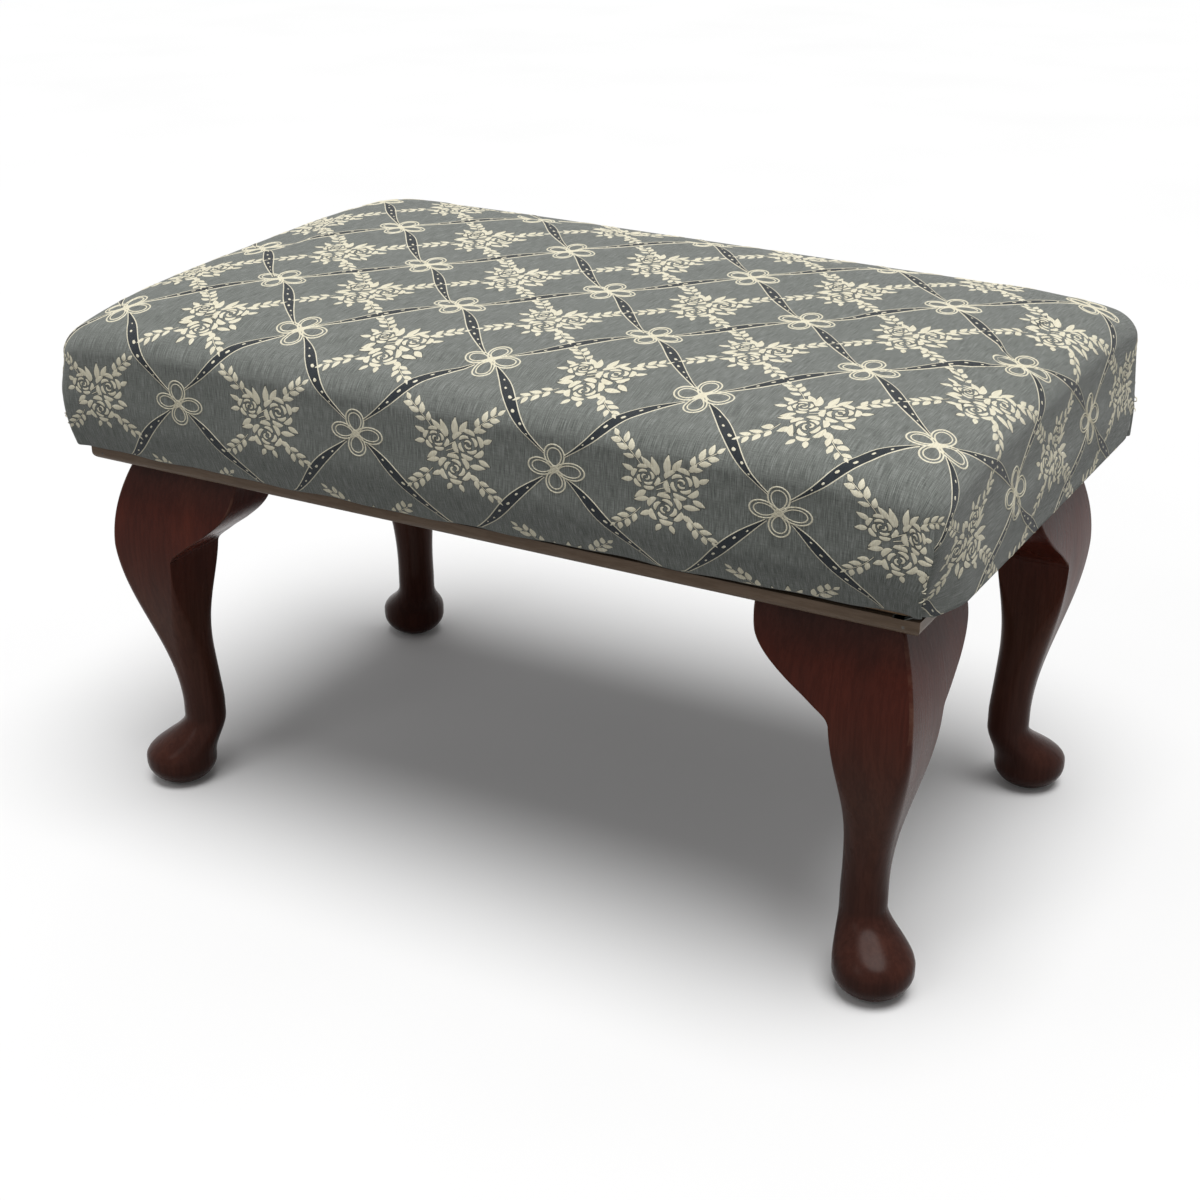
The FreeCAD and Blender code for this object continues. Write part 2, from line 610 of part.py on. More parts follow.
def moulding_strip(name, length, turn, x, y):
    """Strip in its own frame: X along its outer edge, Y inwards; then turned and placed."""
    body = add("PartDesign::Body", f"{name}_body")
    sketch = outline(body, f"{name}_outline", (
        ("0", "0"), (length, "0"), (f"{length} - moulding_strip", "moulding_strip"),
        ("moulding_strip", "moulding_strip")))
    pad(body, f"{name}_board", sketch, "moulding_thick")
    body.Placement = Placement(Vector(), Rotation(Vector(0, 0, 1), turn))
    place(body, x, y, "leg_length")
    doc.recompute()
    lower = [f"Edge{i}" for i, edge in enumerate(body.Tip.Shape.Edges, start=1)
             if all(abs(v.Point.y) < 1e-6 and abs(v.Point.z) < 1e-6 for v in edge.Vertexes)]
    rounding = body.newObject("PartDesign::Fillet", f"{name}_rounding")
    rounding.Base = (body.Group[-2], lower)
    bind(rounding, Radius="moulding_round")
    body.Tip = rounding
    return body


bolt_holes = group("moulding_bolt_holes", [
    rod(f"moulding_hole_{corner}", "bolt_radius + bolt_clearance", "moulding_thick",
        *bolt_place(side_x, side_y), "leg_length")
    for corner, (side_x, side_y) in CORNERS.items()])
all_pins = parts["mitre_pins"]
STRIPS = {
    "front": ("base_width", 0, "-base_width / 2", "-base_depth / 2"),
    "right": ("base_depth", 90, "base_width / 2", "-base_depth / 2"),
    "back": ("base_width", 180, "base_width / 2", "base_depth / 2"),
    "left": ("base_depth", 270, "-base_width / 2", "base_depth / 2"),
}
for name, (length, turn, x, y) in STRIPS.items():
    strip = moulding_strip(f"moulding_{name}", length, turn, x, y)
    driven = [group(f"moulding_{name}_screws", moulding_screws[name]),
              group(f"moulding_{name}_staples", cloth_staples[name])]
    keep(f"moulding_{name}", cut(f"moulding_{name}", strip, [bolt_holes, all_pins] + driven))


# Seat frame: long rails the full length, end rails between them, a block in each corner

RAILS = {
    "front": (f"-{RAIL_X}", f"-{RAIL_Y}", f"2 * {RAIL_X}", "rail_thick"),
    "back": (f"-{RAIL_X}", INNER_Y, f"2 * {RAIL_X}", "rail_thick"),
    "left": (f"-{RAIL_X}", f"-{INNER_Y}", "rail_thick", f"2 * {INNER_Y}"),
    "right": (INNER_X, f"-{INNER_Y}", "rail_thick", f"2 * {INNER_Y}"),
}
for name, (x, y, length, width) in RAILS.items():
    blank = box(f"rail_{name}_blank", x, y, RAIL_BOTTOM, length, width, "rail_height")
    near = [corner for corner in CORNERS if name in corner]
    driven = [one for corner in near for one in rail_dowels[corner]]
    driven += [block_screws[corner][1 if name in ("front", "back") else 0] for corner in near]
    driven += moulding_screws[name] + tacks[name] + hem_staples[name]
    keep(f"rail_{name}", cut(f"rail_{name}", blank, [group(f"rail_{name}_driven", driven)]))


def corner_block(corner, side_x, side_y):
    """Triangular block in the corner of the rails, standing on the moulding."""
    name = f"corner_block_{corner}"
    body = add("PartDesign::Body", f"{name}_body")
    sketch = outline(body, f"{name}_outline", (("0", "0"), ("block_leg", "0"), ("0", "block_leg")))
    pad(body, f"{name}_board", sketch, "block_height")
    turn = {(-1, -1): 0, (1, -1): 90, (1, 1): 180, (-1, 1): 270}[(side_x, side_y)]
    body.Placement = Placement(Vector(), Rotation(Vector(0, 0, 1), turn))
    place(body, f"{side_x} * {INNER_X}", f"{side_y} * {INNER_Y}", MOULDING_TOP)
    hole = rod(f"{name}_hole", "bolt_radius + bolt_clearance", "block_height",
               *bolt_place(side_x, side_y), MOULDING_TOP)
    return cut(name, body, [hole, *block_screws[corner]])


for corner, (side_x, side_y) in CORNERS.items():
    keep(f"corner_block_{corner}", corner_block(corner, side_x, side_y))


# Pad: every soft layer is the same crowned, drawn-in form, made smaller by its depth under the surface

def rounded_rectangle(half_x, half_y, radius, z):
    """Closed wire of four lines and four arcs."""
    radius = min(radius, 0.9 * half_x, 0.9 * half_y)
    turns = {(1, 1): 0, (-1, 1): 90, (-1, -1): 180, (1, -1): 270}
    arcs = []
    for (side_x, side_y), turn in turns.items():
        centre = Vector(side_x * (half_x - radius), side_y * (half_y - radius), z)
        arcs.append(quarter(centre, radius, turn))
    return closed(arcs)


LEAST_RADIUS = 1.0
CROWN_STEPS = (0.93, 0.84, 0.72, 0.56)
SIDE_STEPS = 5
SHOULDER_STEPS = 6


def pad_form(depth):
    """Crowned form, this deep under the cover's surface: sides as a quarter sine, a round shoulder, then the
    crown, which falls with the fourth power of the distance from the middle."""
    base = size("leg_length") + size("moulding_thick")
    full_x = size("base_width") / 2 + size("end_overhang") + size("end_belly") - depth
    full_y = size("base_depth") / 2 + size("side_overhang") + size("side_belly") - depth
    radius = max(size("shoulder_radius") - depth, LEAST_RADIUS)
    edge = base + size("pad_height") - depth
    foot, belly = (max(size(name) - depth, LEAST_RADIUS) for name in ("corner_foot", "corner_belly"))
    wires = []
    for step in range(SIDE_STEPS + 1):
        share = step / SIDE_STEPS
        drawn_in = 1 - math.sin(share * math.pi / 2)
        wires.append(rounded_rectangle(full_x - size("end_belly") * drawn_in,
                                       full_y - size("side_belly") * drawn_in,
                                       foot + (belly - foot) * share,
                                       base + size("belly_height") * share))
    for step in range(SHOULDER_STEPS + 1):
        angle = step / SHOULDER_STEPS * math.pi / 2
        inset = radius * (1 - math.cos(angle))
        corner = max(belly - inset, LEAST_RADIUS)
        wires.append(rounded_rectangle(full_x - inset, full_y - inset, corner,
                                       edge - radius * (1 - math.sin(angle))))
    for share in CROWN_STEPS:
        height = edge + size("crown") * (1 - share ** 4)
        wires.append(rounded_rectangle((full_x - radius) * share, (full_y - radius) * share,
                                       corner / share, height))
    return Part.makeLoft(wires, True, True)


def soft(name, shape):
    made = add("Part::Feature", name)
    made.Shape = shape
    return made


moulding_top = size("leg_length") + size("moulding_thick")
rail_bottom = moulding_top + size("cover_thick")
hessian_top = rail_bottom + size("rail_height") + 2 * size("strap_thick") + size("hessian_thick")
rail_x = size("base_width") / 2 - size("rail_setback")
rail_y = size("base_depth") / 2 - size("rail_setback")
sky = moulding_top + 2 * size("pad_height")
wide = size("base_width") + size("base_depth")
above_frame = slab(-wide, -wide, hessian_top, wide, wide, sky)
above_hem = slab(-wide, -wide, rail_bottom, wide, wide, sky)

under_cover = size("cover_thick") + size("layer_gap")
under_wadding = under_cover + size("wadding_thick")

stuffing = pad_form(under_wadding + size("layer_gap")).common(above_frame)
keep("stuffing_pad", soft("stuffing_pad", stuffing))

void_above = pad_form(under_wadding).common(above_frame)
frame_room = slab(-rail_x, -rail_y, moulding_top, rail_x, rail_y, hessian_top)
wadding = pad_form(under_cover).common(above_hem).cut(void_above).cut(frame_room)
keep("wadding", soft("wadding", wadding))

hem_x, hem_y = rail_x - size("hem_width"), rail_y - size("hem_width")
hem_opening = slab(-hem_x, -hem_y, moulding_top - 1, hem_x, hem_y, rail_bottom + 1)
shell = pad_form(0).cut(pad_form(size("cover_thick")).common(above_hem)).cut(hem_opening)
keep("cover", cut("cover", soft("cover_shell", shell), [all_hem_staples, parts["moulding_screws"]]))

hessian = box("hessian_sheet", f"-{RAIL_X}", f"-{RAIL_Y}", HESSIAN_BOTTOM,
              f"2 * {RAIL_X}", f"2 * {RAIL_Y}", "hessian_thick")
keep("hessian", cut("hessian", hessian, [parts["webbing_tacks"]]))


# Check every object, then write one file per node

doc.recompute()
for obj in doc.Objects:
    if "Invalid" in obj.State or "Error" in obj.State:
        raise RuntimeError(f"{obj.Name} failed: {obj.State}")
for node, obj in parts.items():
    if obj.Shape.isNull() or not obj.Shape.isValid() or not obj.Shape.Solids:
        raise RuntimeError(f"{node} has no valid solid")
os.makedirs("parts", exist_ok=True)
for node, obj in parts.items():
    obj.Shape.exportStep(f"parts/{node}.step")
print(len(parts), "nodes,", sum(len(obj.Shape.Solids) for obj in parts.values()), "solids")
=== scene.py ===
# %% [markdown]
# # An upholstered footstool on four cabriole legs
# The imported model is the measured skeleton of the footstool. It is loaded first, and everything
# below is fitted to it: in Blender the frame stays where the drawing put it, and only soft pieces,
# rounded wood and finishes are added. Lengths are worked out in millimetres, as at the bench, and
# become metres where a mesh is made.

# %% Load the measured frame
import math
import numpy as np
import bpy
from mathutils import Matrix, Vector
from mathutils.bvhtree import BVHTree


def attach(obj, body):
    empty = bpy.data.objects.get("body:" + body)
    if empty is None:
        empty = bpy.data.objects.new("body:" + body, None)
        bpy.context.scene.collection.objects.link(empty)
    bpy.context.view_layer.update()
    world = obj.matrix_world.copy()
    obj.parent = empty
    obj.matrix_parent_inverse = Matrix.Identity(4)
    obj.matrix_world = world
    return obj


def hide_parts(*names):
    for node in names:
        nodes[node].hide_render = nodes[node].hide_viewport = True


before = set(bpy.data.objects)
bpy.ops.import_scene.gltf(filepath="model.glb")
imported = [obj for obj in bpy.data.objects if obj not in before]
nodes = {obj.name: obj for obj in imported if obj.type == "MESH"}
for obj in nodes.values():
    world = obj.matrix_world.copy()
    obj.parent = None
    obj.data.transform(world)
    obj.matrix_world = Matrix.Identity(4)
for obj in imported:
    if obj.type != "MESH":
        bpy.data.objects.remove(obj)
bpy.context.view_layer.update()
MM = 0.001

# %% [markdown]
# ## The camera
# The photograph was taken from the front right, a little above the seat. Four numbers turn the
# camera (azimuth, elevation and a very small roll) and set its distance, and the lens follows from
# the perspective of the two long edges. A camera looks along its own minus Z, so its Z axis is the
# direction from the footstool back to the lens.

# %% Set up the camera
AZIMUTH, ELEVATION, ROLL = (math.radians(v) for v in (29.879, 23.861, -0.247))
back = np.array([math.sin(AZIMUTH) * math.cos(ELEVATION),
                 -math.cos(AZIMUTH) * math.cos(ELEVATION), math.sin(ELEVATION)])
aim = np.array([-181.998, 312.780, -39.494])
level_right = np.cross(-back, [0.0, 0.0, 1.0])
level_right /= np.linalg.norm(level_right)
level_up = np.cross(level_right, -back)
right = math.cos(ROLL) * level_right + math.sin(ROLL) * level_up
up = math.cos(ROLL) * level_up - math.sin(ROLL) * level_right
camera_data = bpy.data.cameras.new("camera")
camera_data.sensor_width = 36.0
camera_data.lens = 36.0 * 1902.05 / 1200.0
camera_data.clip_end = 60.0
camera = bpy.data.objects.new("camera", camera_data)
bpy.context.scene.collection.objects.link(camera)
turn = Matrix([[right[i], up[i], back[i]] for i in range(3)]).to_4x4()
camera.matrix_world = Matrix.Translation(Vector((aim + back * 1525.14) * MM)) @ turn
bpy.context.scene.camera = camera
print("camera lens", round(camera_data.lens, 2), "mm at", [round(v, 3) for v in camera.location])

# %% [markdown]
# ## A mesh from a grid of points
# Each new piece is a surface: a formula gives a point for every pair of numbers on a grid. Rows of
# points become rows of four-sided faces. One helper does this for all pieces, so that every mesh
# is made the same way, in metres, with its object at the origin.

# %% Helpers that turn grids of points into meshes
def smooth(v):
    """Eases from 0 to 1: three times the square less twice the cube."""
    v = np.clip(v, 0.0, 1.0)
    return v * v * (3.0 - 2.0 * v)

def grid_faces(rows, columns, closed=False, first=0):
    """Corner numbers of the faces between neighbouring rows and columns; closed joins the last column to the first."""
    j, i = np.meshgrid(np.arange(rows - 1), np.arange(columns if closed else columns - 1), indexing="ij")
    n = (i + 1) % columns
    return (np.stack([j * columns + i, j * columns + n, (j + 1) * columns + n, (j + 1) * columns + i], -1) + first).reshape(-1, 4)

def make_mesh(name, points, quads, tris=(), flip=False, flat=False):
    """A new object from points in millimetres and arrays of four-cornered and three-cornered faces."""
    quads = np.asarray(quads, dtype=np.int64).reshape(-1, 4)
    tris = np.asarray(tris, dtype=np.int64).reshape(-1, 3)
    if flip:
        quads, tris = quads[:, ::-1], tris[:, ::-1]
    corners = np.concatenate([quads.ravel(), tris.ravel()])
    mesh = bpy.data.meshes.new(name)
    mesh.vertices.add(len(points))
    mesh.vertices.foreach_set("co", (np.asarray(points, dtype=np.float64) * MM).ravel())
    mesh.loops.add(len(corners))
    mesh.loops.foreach_set("vertex_index", corners.astype(np.int32))
    starts = np.concatenate([np.arange(len(quads)) * 4, len(quads) * 4 + np.arange(len(tris)) * 3])
    mesh.polygons.add(len(starts))
    mesh.polygons.foreach_set("loop_start", starts.astype(np.int32))
    mesh.update(calc_edges=True)
    mesh.validate()
    mesh.polygons.foreach_set("use_smooth", np.full(len(mesh.polygons), not flat))
    made = bpy.data.objects.new(name, mesh)
    bpy.context.scene.collection.objects.link(made)
    return made

def set_uv(made, name, uv):
    """Gives each corner of a face the two numbers of its vertex."""
    layer = made.data.uv_layers.new(name=name)
    index = np.empty(len(made.data.loops), dtype=np.int32)
    made.data.loops.foreach_get("vertex_index", index)
    layer.data.foreach_set("uv", np.asarray(uv, dtype=np.float32)[index].ravel())

def set_mask(made, name, values):
    """Stores one number for each vertex, which a material can read by name."""
    layer = made.data.attributes.new(name, "FLOAT", "POINT")
    layer.data.foreach_set("value", np.asarray(values, dtype=np.float32))

print("helpers ready")

# %% [markdown]
# ## The shape of the stuffed seat
# The seat is a firm pad under a tightly drawn cloth. Its level top is a rounded rectangle that
# crowns gently, its shoulder turns over a small radius, and its sides bulge a little and draw in
# where the cloth is pulled under the rails. The cloth is described by how far it runs: `s` along
# the seat and `t` across it, both measured on the cloth itself from the middle of the top. A
# formula takes a place on the cloth to a place on the pad, so the woven pattern can be laid on the
# flat cloth and follow the pad everywhere, as real cloth does. At each corner the cloth is drawn
# round the top smoothly, but lower down the long side and the end meet in a fold, and there the
# pattern is cut off.

# %% Measures of the pad
TOP_LENGTH, TOP_WIDTH, TOP_CORNER = 247.3, 148.4, 3.0     # half sizes and corner radius of the level top
SHOULDER, TOP_Z, BELLY_Z, FOOT_Z = 14.2, 308.2, 262.0, 221.0
TUCK_END, TUCK_LONG = 0.8, 9.2                             # how far ends and long sides draw in at the foot
CORNER_PULL, FOLD_STEP = 8.8, 1.5                          # foot of the front right corner, and edge of the upper sheet at a fold
OVER = SHOULDER * math.pi / 2                              # cloth used by the shoulder
SKIRT = OVER + TOP_Z - SHOULDER - FOOT_Z                   # cloth from the level top down to the foot

def side_profile(w, tuck):
    """A quarter circle, then straight down, then drawn in below the belly by a quarter sine: outward step and height after w of cloth."""
    turned = np.clip(w / SHOULDER, 0.0, math.pi / 2)
    z = TOP_Z - SHOULDER * (1.0 - np.cos(turned)) - np.maximum(w - OVER, 0.0)
    share = np.clip((z - FOOT_Z) / (BELLY_Z - FOOT_Z), 0.0, 1.0)
    return SHOULDER * np.sin(turned) - tuck * (1.0 - np.sin(share * math.pi / 2)), z

def corner_radius(w):
    """Radius of the corner in plan, tightening as the fold opens and again towards the foot, and how far the fold has opened, 0 to 1."""
    out, z = side_profile(w, 0.0)
    fold = smooth((TOP_Z - SHOULDER - z) / (TOP_Z - SHOULDER - BELLY_Z))
    return TOP_CORNER + out - 6.5 * fold - 7.7 * np.clip((BELLY_Z - z) / (BELLY_Z - FOOT_Z), 0.0, 1.0), fold

def crown(x, y):
    """Fall of the top from its middle: a high power along, a lower one across, and a plane and a twist where the stuffing has settled."""
    a, b = x / 262.6, y / 161.7
    return -9.0 * np.abs(a) ** 9.7 - 11.0 * np.abs(b) ** 4.1 - 3.4 * a + 5.2 * b - 2.0 * a * b

def hem_lift(x, y):
    """Height of the cloth's lower edge above the moulding: it rides up along the front towards the right corner, and waves slightly."""
    front = smooth((-y - 140.0) / 12.0)
    rise = 0.6 + 3.4 * smooth((x + 60.0) / 260.0) * (0.75 + 0.25 * np.sin(x / 31.0))
    wave = 0.35 * np.sin(x / 13.0 + 1.0) + 0.3 * np.sin(x / 7.3)
    return 0.6 + front * (rise + wave)

def drawn_corner(x, y, z):
    """At the front corners the stitch draws the foot of the cloth in over the moulding, most on the right: it fades up and along both sides."""
    low = 1.0 - smooth((z - FOOT_Z) / 62.0)
    pull = np.where(x > 0, CORNER_PULL, -0.45 * CORNER_PULL)
    return x - pull * low * smooth((np.abs(x) - 222.0) / 32.0) * smooth((-y - 116.0) / 36.0)

def fold_lip(end, fold, reach):
    """The long side's sheet lies over the end's at a fold: its edge stands proud, the end's sinks in, and both ease back over a few millimetres."""
    return np.where(end, -0.9, 1.0) * FOLD_STEP * fold * np.exp(-(reach / 5.0) ** 2)

def pad_height(x, y, z):
    """The crown and the lifted hem, each fading out towards the other end of the side."""
    share = (z - FOOT_Z) / (TOP_Z - FOOT_Z)
    return z + crown(x, y) * share + hem_lift(x, y) * (1.0 - smooth(share * 2.2))

print("cloth from top edge to foot:", round(SKIRT, 1), "mm")

# %% [markdown]
# ## Where a point of the cloth lies
# `skirt_point` gives the pad's surface from a place along a side, an angle round the corner and the
# cloth used so far. `lay` goes the other way round: from cloth measures `s` and `t` it finds those
# three numbers, in the corner by Newton's method on whole arrays, and says which points have
# gone into the fold.

# %% From the cloth to the pad
def skirt_point(end, along, phi, w):
    """Point and outward direction: straight sides keep their place along, corners turn phi round a centre that moves out as the radius shrinks."""
    radius, fold = corner_radius(w)
    out_x, z = side_profile(w, TUCK_END)
    out_y, _ = side_profile(w, TUCK_LONG)
    cx, cy = TOP_LENGTH + out_x - radius, TOP_WIDTH + out_y - radius
    x = np.where(end, cx + radius * np.cos(phi), np.where(phi > 0, cx + radius * np.sin(phi), np.minimum(along, cx)))
    y = np.where(end, np.where(phi > 0, cy + radius * np.sin(phi), np.minimum(along, cy)), cy + radius * np.cos(phi))
    nx, ny = np.where(end, np.cos(phi), np.sin(phi)), np.where(end, np.sin(phi), np.cos(phi))
    tuck = np.where(end, TUCK_END, TUCK_LONG)
    step = side_profile(w + 0.5, tuck)[0] - side_profile(np.maximum(w - 0.5, 0.0), tuck)[0]
    drop = side_profile(np.maximum(w - 0.5, 0.0), tuck)[1] - side_profile(w + 0.5, tuck)[1]
    normal = np.stack([nx * drop, ny * drop, step + 0.0 * nx], -1)
    return np.stack([x, y, z + 0.0 * x], -1), normal / np.linalg.norm(normal, axis=-1, keepdims=True)

def cloth_on_corner(phi, w, length, width, tuck):
    """Cloth measures at an angle phi round the corner: fanned out while the fold is shut, wrapped straight round once it is open."""
    radius, fold = corner_radius(w)
    out, _ = side_profile(w, tuck)
    fan = TOP_CORNER + w
    return (length + out - radius + (1 - fold) * fan * np.sin(phi) + fold * radius * phi,
            (1 - fold) * (width - TOP_CORNER + fan * np.cos(phi)) + fold * (width + w))

def lay(s, t):
    """Point, outward direction and a hidden mark for every place (s, t) of the cloth."""
    a, b = np.abs(s), np.abs(t)
    core_a, core_b = TOP_LENGTH - TOP_CORNER, TOP_WIDTH - TOP_CORNER
    level = np.where((a > core_a) & (b > core_b), np.hypot(a - core_a, b - core_b) <= TOP_CORNER, (a <= TOP_LENGTH) & (b <= TOP_WIDTH))
    end = (a - TOP_LENGTH) > (b - TOP_WIDTH)
    p, d = np.where(end, b, a), np.where(end, a, b)
    width, length = np.where(end, TOP_LENGTH, TOP_WIDTH), np.where(end, TOP_WIDTH, TOP_LENGTH)
    tuck = np.where(end, TUCK_LONG, TUCK_END)
    w_side = np.maximum(d - width, 0.0)
    radius, _ = corner_radius(w_side)
    bend = length + side_profile(w_side, tuck)[0] - radius
    straight = p <= bend
    gp, gd = np.maximum(p - (length - TOP_CORNER), 0.0), np.maximum(d - (width - TOP_CORNER), 1e-6)
    w, phi = np.maximum(np.hypot(gp, gd) - TOP_CORNER, 0.0), np.arctan2(gp, gd)
    opened = corner_radius(w)[1] > 0.5
    phi, w = np.where(opened, (p - bend) / radius, phi), np.where(opened, w_side, w)
    for _ in range(25):
        here = cloth_on_corner(phi, w, length, width, tuck)
        by_phi = cloth_on_corner(phi + 1e-3, w, length, width, tuck)
        by_w = cloth_on_corner(phi, w + 1e-3, length, width, tuck)
        a11, a21, a12, a22 = (by_phi[0] - here[0]) * 1e3, (by_phi[1] - here[1]) * 1e3, (by_w[0] - here[0]) * 1e3, (by_w[1] - here[1]) * 1e3
        det = a11 * a22 - a12 * a21
        det = np.where(np.abs(det) < 1e-3, 1e-3, det)
        miss_p, miss_d = p - here[0], d - here[1]
        phi = np.clip(phi + np.clip((a22 * miss_p - a12 * miss_d) / det, -0.3, 0.3), -0.2, 1.6)
        w = np.maximum(w + np.clip((a11 * miss_d - a21 * miss_p) / det, -10.0, 10.0), 0.0)
    phi, w = np.where(straight, 0.0, phi), np.where(straight, w_side, w)
    hidden = ((phi > math.pi / 4 + 1e-3) | (w > SKIRT - 0.3)) & ~level
    w = np.clip(w, 0.0, SKIRT - 0.3)
    radius, fold = corner_radius(w)
    bend = length + side_profile(w, tuck)[0] - radius
    point, normal = skirt_point(end, p, np.clip(phi, 0.0, math.pi / 4), w)
    reach = np.where(phi > 0, radius * (math.pi / 4 - np.clip(phi, 0.0, math.pi / 4)), radius * math.pi / 4 + np.maximum(bend - p, 0.0))
    point = point + normal * fold_lip(end, fold, reach)[..., None]
    x, y = np.where(level, a, point[..., 0]) * np.sign(s + 1e-9), np.where(level, b, point[..., 1]) * np.sign(t + 1e-9)
    z = np.where(level, TOP_Z, point[..., 2])
    slope_x, slope_y = crown(x + 0.5, y) - crown(x - 0.5, y), crown(x, y + 0.5) - crown(x, y - 0.5)
    flat = np.stack([-slope_x, -slope_y, np.ones_like(x)], -1)
    side = normal * np.stack([np.sign(s + 1e-9), np.sign(t + 1e-9), np.ones_like(x)], -1)
    normal = np.where(level[..., None], flat, side + flat * np.maximum(side[..., 2:], 0.0) - np.stack([0 * x, 0 * x, np.maximum(side[..., 2], 0.0)], -1))
    normal /= np.linalg.norm(normal, axis=-1, keepdims=True)
    return np.stack([drawn_corner(x, y, z), y, pad_height(x, y, z)], -1), normal, hidden

trial, _, _ = lay(np.array([0.0, 62.0, 262.0]), np.array([0.0, -191.0, 161.0]))
print("middle, front side and corner of the cloth lie at", np.round(trial, 1).tolist())

# %% [markdown]
# ## The cover as one closed skin
# The cover is mesh rows that run round the seat: from the middle of the top out to the level edge,
# over the shoulder, down the side, under the rail and back up on the inside, so the skin is closed
# and as thick as the cloth. At a corner the two sheets of cloth share the fold line, where the long
# side's sheet lies on top by a cloth's thickness. Cloth measures are stored as the UV map, in
# decimetres, so the weave follows the cloth and not the world.

# %% Columns round the seat and rows down the skin
def round_the_seat(long_steps, short_steps, corner_steps):
    """One entry per column: end sheet or long sheet, share of the straight part, angle into the corner, and the two outward signs."""
    parts = []
    for end, sx, sy, steps in ((False, 1, -1, long_steps), (True, 1, 1, short_steps), (False, -1, 1, long_steps), (True, -1, -1, short_steps)):
        turn_from, turn_to = np.linspace(math.pi / 4, 0, corner_steps)[:-1], np.linspace(0, math.pi / 4, corner_steps)[1:]
        share = np.concatenate([-np.ones(corner_steps - 1), np.linspace(-1, 1, steps), np.ones(corner_steps - 1)])
        angle = np.concatenate([turn_from, np.zeros(steps), turn_to])
        going = 1.0 if (not end and sy < 0) or (end and sx > 0) else -1.0
        parts.append(np.stack([np.full(len(share), float(end)), share * going, angle, np.full(len(share), float(sx)), np.full(len(share), float(sy))], -1))
    return np.concatenate(parts)

def skin_rows(columns, w, inset=0.0):
    """Points, outward directions and cloth measures for rows of cloth length w (one row each), set inwards by inset."""
    end, share, phi = columns[:, 0] > 0.5, columns[:, 1], columns[:, 2]
    w = np.asarray(w, dtype=float)[:, None] + 0.0 * share
    radius, fold = corner_radius(w)
    out_x, out_y = side_profile(w, TUCK_END)[0], side_profile(w, TUCK_LONG)[0]
    core = np.where(end, TOP_WIDTH + out_y, TOP_LENGTH + out_x) - radius
    point, normal = skirt_point(end, np.abs(share) * core, phi + 0.0 * w, w)
    side = np.sign(np.where(share == 0, 1.0, share))
    outward_x, outward_y = np.where(end, columns[:, 3], side), np.where(end, side, np.where(columns[:, 4] > 0, 1.0, -1.0))
    length, width = np.where(end, TOP_WIDTH, TOP_LENGTH), np.where(end, TOP_LENGTH, TOP_WIDTH)
    p, d = cloth_on_corner(phi, w, length, width, np.where(end, TUCK_LONG, TUCK_END))
    p, d = np.where(phi > 0, p, np.abs(share) * core), np.where(phi > 0, d, width + w)
    reach = np.where(phi > 0, radius * (math.pi / 4 - phi), radius * math.pi / 4 + core * (1 - np.abs(share)))
    lip = fold_lip(end, fold, reach)
    sign = np.stack([outward_x + 0 * w, outward_y + 0 * w, np.ones_like(w)], -1)
    normal = normal * sign
    point = point * sign
    cloth = np.stack([np.where(end, d, p) * outward_x, np.where(end, p, d) * outward_y], -1)
    x, y, z = np.moveaxis(point, -1, 0)
    point = np.stack([drawn_corner(x, y, z), y, pad_height(x, y, z)], -1)
    return point + normal * (lip - inset)[..., None], normal, cloth

swelling = {"map": None, "reach_s": TOP_LENGTH + SKIRT, "reach_t": TOP_WIDTH + SKIRT}

def swell(s, t):
    """Height of the simulated cloth over the plain form, read between the four nearest points of its map."""
    if swelling["map"] is None:
        return 0.0 * s
    table = swelling["map"]
    u = np.clip((s / swelling["reach_s"] + 1) / 2, 0, 1) * (table.shape[0] - 1.001)
    v = np.clip((t / swelling["reach_t"] + 1) / 2, 0, 1) * (table.shape[1] - 1.001)
    i, j = u.astype(int), v.astype(int)
    fu, fv = u - i, v - j
    return (table[i, j] * (1 - fu) + table[i + 1, j] * fu) * (1 - fv) + (table[i, j + 1] * (1 - fu) + table[i + 1, j + 1] * fu) * fv

def pad_skin(columns, level_rows, side_w, inset):
    """Rows from the middle out and down: level rows shrink the edge of the top to its middle, side rows follow the cloth."""
    edge, _, _ = skin_rows(columns, [0.0])
    k = np.linspace(0, 1, level_rows, endpoint=False)[1:, None]
    x, y = edge[..., 0] * k, edge[..., 1] * k
    top = np.stack([x, y, pad_height(x, y, TOP_Z + 0 * x)], -1)
    flat = np.stack([crown(x - 0.5, y) - crown(x + 0.5, y), crown(x, y - 0.5) - crown(x, y + 0.5), np.ones_like(x)], -1)
    flat /= np.linalg.norm(flat, axis=-1, keepdims=True)
    below, normal, cloth = skin_rows(columns, side_w, inset)
    normals = np.concatenate([flat, normal])
    cloth = np.concatenate([np.stack([x, y], -1), cloth])
    points = np.concatenate([top - flat * inset, below]) + normals * swell(cloth[..., 0], cloth[..., 1])[..., None]
    return points, normals, cloth

print("columns round the seat:", len(round_the_seat(120, 72, 8)))

# %% [markdown]
# ## Letting the stuffing press against the cloth
# The formula gives the measured form, and a cloth simulation gives it life. A copy of the pad, a
# little too small, is remeshed into small even squares, its foot is held as the staples hold it,
# and air pressure without gravity blows it up for twenty frames. How far each place of the cloth
# then stands from the formula, less the usual distance and capped at a few millimetres, is kept
# as a map over `s` and `t`. The cover and the woven pattern both read that map, so they stay together.

